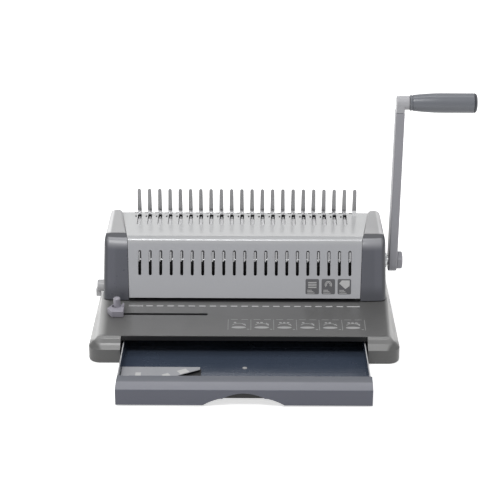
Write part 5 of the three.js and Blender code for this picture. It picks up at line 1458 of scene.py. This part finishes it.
def screw_head():
    """A domed head about the X axis: a quarter ellipse turned round, with a cross cut into it."""
    dome = quarter_ellipse((0, 0), screw_radius, screw_rise, 7)
    made = turned("screw", np.concatenate([[(0, -0.6), (screw_radius, -0.6)], dome]), (0, 0), 32)
    cross = [block("cross", (screw_rise - 0.9, -half_y, -half_z), (screw_rise + 1, half_y, half_z))
             for half_y, half_z in ((1.9, 0.4), (0.4, 1.9))]
    return combine(made, cross)


def place_screw(head, place, facing):
    """A copy of the head with its axis along facing and its seat at place, in millimetres."""
    made = link_object("screw", head.data.copy())
    turn = Vector(facing).to_track_quat("X", "Z").to_matrix().to_4x4()
    made.data.transform(Matrix.Translation(Vector(place) * mm) @ turn)
    return made


def rear_face_y(z):
    """Y of the rear cover's outer face at a height."""
    share = (z - cap_foot_z) / (deck_z(cap_rear_y) - rear_drop - cap_foot_z)
    return cap_rear_y + rear_reach - rear_draw * share


head = screw_head()
screws = [place_screw(head, (x, rear_face_y(z), z), (0, 1, 0.12))
          for x in (-165, -55, 55, 165) for z in (50, 108)]
for side in (-1, 1):
    screws += [place_screw(head, (side * (cap_outer_x(y) - 0.1), y, 54), (side, 0, 0)) for y in (16, 84)]
bpy.data.objects.remove(head)
add_trim(gather("case_screws", screws), "machine", "gear_steel")

# %% [markdown]
# ## Printing
# The printed marks are thin solids that lie on the surfaces, so they survive any export. They
# are generic: a dash under each punch, a row of small pictures, three dark plates, and squares
# along the gauge. A shape is a flat outline, and a lay function puts it on its surface.


# %% Flat shapes
def bar(centre, width, height, radius=0.0):
    """A rectangle about a centre, with round corners if a radius is given."""
    a, b = centre
    low, high = (a - width / 2, b - height / 2), (a + width / 2, b + height / 2)
    if radius:
        return rounded_rectangle(low, high, radius, 5)
    return np.array([low, (high[0], low[1]), high, (low[0], high[1])])


def ellipse(centre, width, height):
    """A circle of radius a half, stretched to a width and a height."""
    return arc((0, 0), 0.5, 0, 2 * math.pi, 28)[:-1] * (width, height) + centre


def arc_band(centre, radius, width, start, stop):
    """A piece of a ring between two angles."""
    outer = arc(centre, radius + width / 2, start, stop, 14)
    inner = arc(centre, radius - width / 2, stop, start, 14)
    return np.concatenate([outer, inner])


def arrow(tip, length, width, direction):
    """A triangular head on a thin stem. Direction is an angle; the tip is where it points."""
    along = np.array([math.cos(direction), math.sin(direction)])
    across = np.array([-along[1], along[0]])
    head = [(0, 0), (-width, width / 2), (-width, width / 6), (-length, width / 6),
            (-length, -width / 6), (-width, -width / 6), (-width, -width / 2)]
    return np.asarray(tip) + np.array([a * along + b * across for a, b in head])


def lay_on_cover(plan, height):
    """The second coordinate is the height z of a point of the cover's face."""
    y = face_y(plan[:, 1]) - height * math.cos(body_lean)
    return np.column_stack([plan[:, 0], y, plan[:, 1] + height * math.sin(body_lean)])


def lay_on_gauge(plan, height):
    """Z is the top of the gauge plus a height."""
    return at_height(plan, gauge_high[2] + height)


def lay_on_tray(plan, height):
    """Z is the top of the tray's floor plus a height."""
    return at_height(plan, tray_floor_z + height)


def print_on(name, shapes, lay, body, finish, depth=0.05, proud=0.06):
    """Thin solids from flat outlines, as one piece."""
    solids = [loft("mark", np.stack([lay(shape, -depth), lay(shape, proud)])) for shape in shapes]
    return add_trim(gather(name, solids), body, finish)


# %% Marks on the table
dash_y = -24.4
dashes = [bar((slot_x(index), dash_y), 9.0, 2.1, 0.9) for index in range(1, slot_count - 1)]
dashes.append(bar((147.0, dash_y), 18.0, 2.1, 0.9))
ticks = [bar((x, dash_y), 0.75, 4.4 if at % 4 == 0 else 3.0)
         for at, x in enumerate(np.linspace(-156, -138, 13))]
part_lines = [bar((side * 175.0, table_edge_y + 1.6), 27.0, 0.7) for side in (-1, 1)]
print_on("part_lines", part_lines, lay_on_table, "machine", "print_dark")
print_on("dash_row", dashes, lay_on_table, "machine", "print_white")
print_on("tick_row", ticks, lay_on_table, "machine", "print_white")

picture_left, picture_pitch, picture_count = -21.5, 30.1, 6
picture_low, picture_high = -92.0, -62.8


def picture(index):
    """A thin frame, a sheet or a comb in it, and an arrow that differs from box to box."""
    left = picture_left + index * picture_pitch
    middle_x, middle_y = left + picture_pitch / 2, (picture_low + picture_high) / 2
    height = picture_high - picture_low
    shapes = [bar((left, middle_y), 0.5, height)]
    if index == picture_count - 1:
        shapes.append(bar((left + picture_pitch, middle_y), 0.5, height))
    for at in range(2):
        shapes.append(bar((left + (0.27 + 0.46 * at) * picture_pitch, picture_high), 9.0, 0.7))
    shapes.append(ellipse((middle_x - 1, picture_low + 7.0), 19.0, 6.0))
    shapes.append(arc_band((middle_x - 1, picture_low + 9.0), 9.5, 0.9, 0.3, 2.6))
    for at in range(index % 3 + 1):
        shapes.append(bar((middle_x - 6 + 5 * at, picture_low + 20.5), 3.4, 3.0, 0.9))
    shapes.append(arrow((middle_x + 8.5, picture_low + 13.5), 7.0, 4.0, -0.7 - 0.35 * (index % 2)))
    shapes.append(bar((left + picture_pitch - 3.6, picture_low + 2.0), 3.0, 1.2))
    return shapes


pictures = [shape for index in range(picture_count) for shape in picture(index)]
print_on("picture_row", pictures, lay_on_table, "machine", "print_grey")

# %% Plates on the cover
plate_centres, plate_z, plate_width, plate_height = (91.9, 113.7, 135.5), 55.25, 18.4, 19.7
print_on("cover_plates", [bar((x, plate_z), plate_width, plate_height, 1.8) for x in plate_centres],
         lay_on_cover, "machine", "print_dark")
marks = [bar((plate_centres[0], plate_z + 5.4 - 2.2 * at), 11.5, 1.0) for at in range(4)]
marks += [arc_band((plate_centres[1], plate_z + 2.6), 4.3 - 1.7 * at, 0.8, -0.6, 3.8) for at in range(2)]
folded = [(-7.0, 3.5), (-3.5, 7.6), (7.2, 7.6), (7.2, 0.5), (1.5, -3.6)]
marks.append(np.array(folded) + (plate_centres[2], plate_z + 0.6))
for x in plate_centres:
    marks += [bar((x - 3.6 + 0.9 * at, plate_z - 4.6 - 1.9 * at), 6.5 + 1.8 * at, 0.7) for at in range(3)]
print_on("plate_marks", marks, lay_on_cover, "machine", "print_white", -0.03, 0.1)

# %% Squares on the gauge and the dot on the drawer's floor
slant_start = np.array([gauge_low[0] + 24.1, gauge_low[1]])
slant_stop = np.array([gauge_high[0], gauge_high[1] - 7.0])
along_slant = (slant_stop - slant_start) / np.linalg.norm(slant_stop - slant_start)
inward = np.array([-along_slant[1], along_slant[0]])
squares = []
for share, size, away in ((0.08, 6.0, 1.2), (0.24, 7.0, 1.2), (0.45, 9.0, 5.0), (0.69, 13.0, 1.2)):
    corner = slant_start + share * (slant_stop - slant_start) + inward * away
    side, rise = along_slant * size, inward * size * 0.8
    squares.append(np.array([corner, corner + side, corner + side + rise, corner + rise]))
squares.append(bar((gauge_low[0] + 22, gauge_low[1] + 33), 7.0, 9.0))
squares.append(bar((gauge_low[0] + 7, gauge_low[1] + 26), 7.0, 7.0))
print_on("gauge_squares", squares, lay_on_gauge, "drawer", "print_white")
print_on("drain_dot", [ellipse((1.0, -148.5), 6.0, 6.0)], lay_on_tray,
         "drawer", "print_grey", 0.05, 0.5)
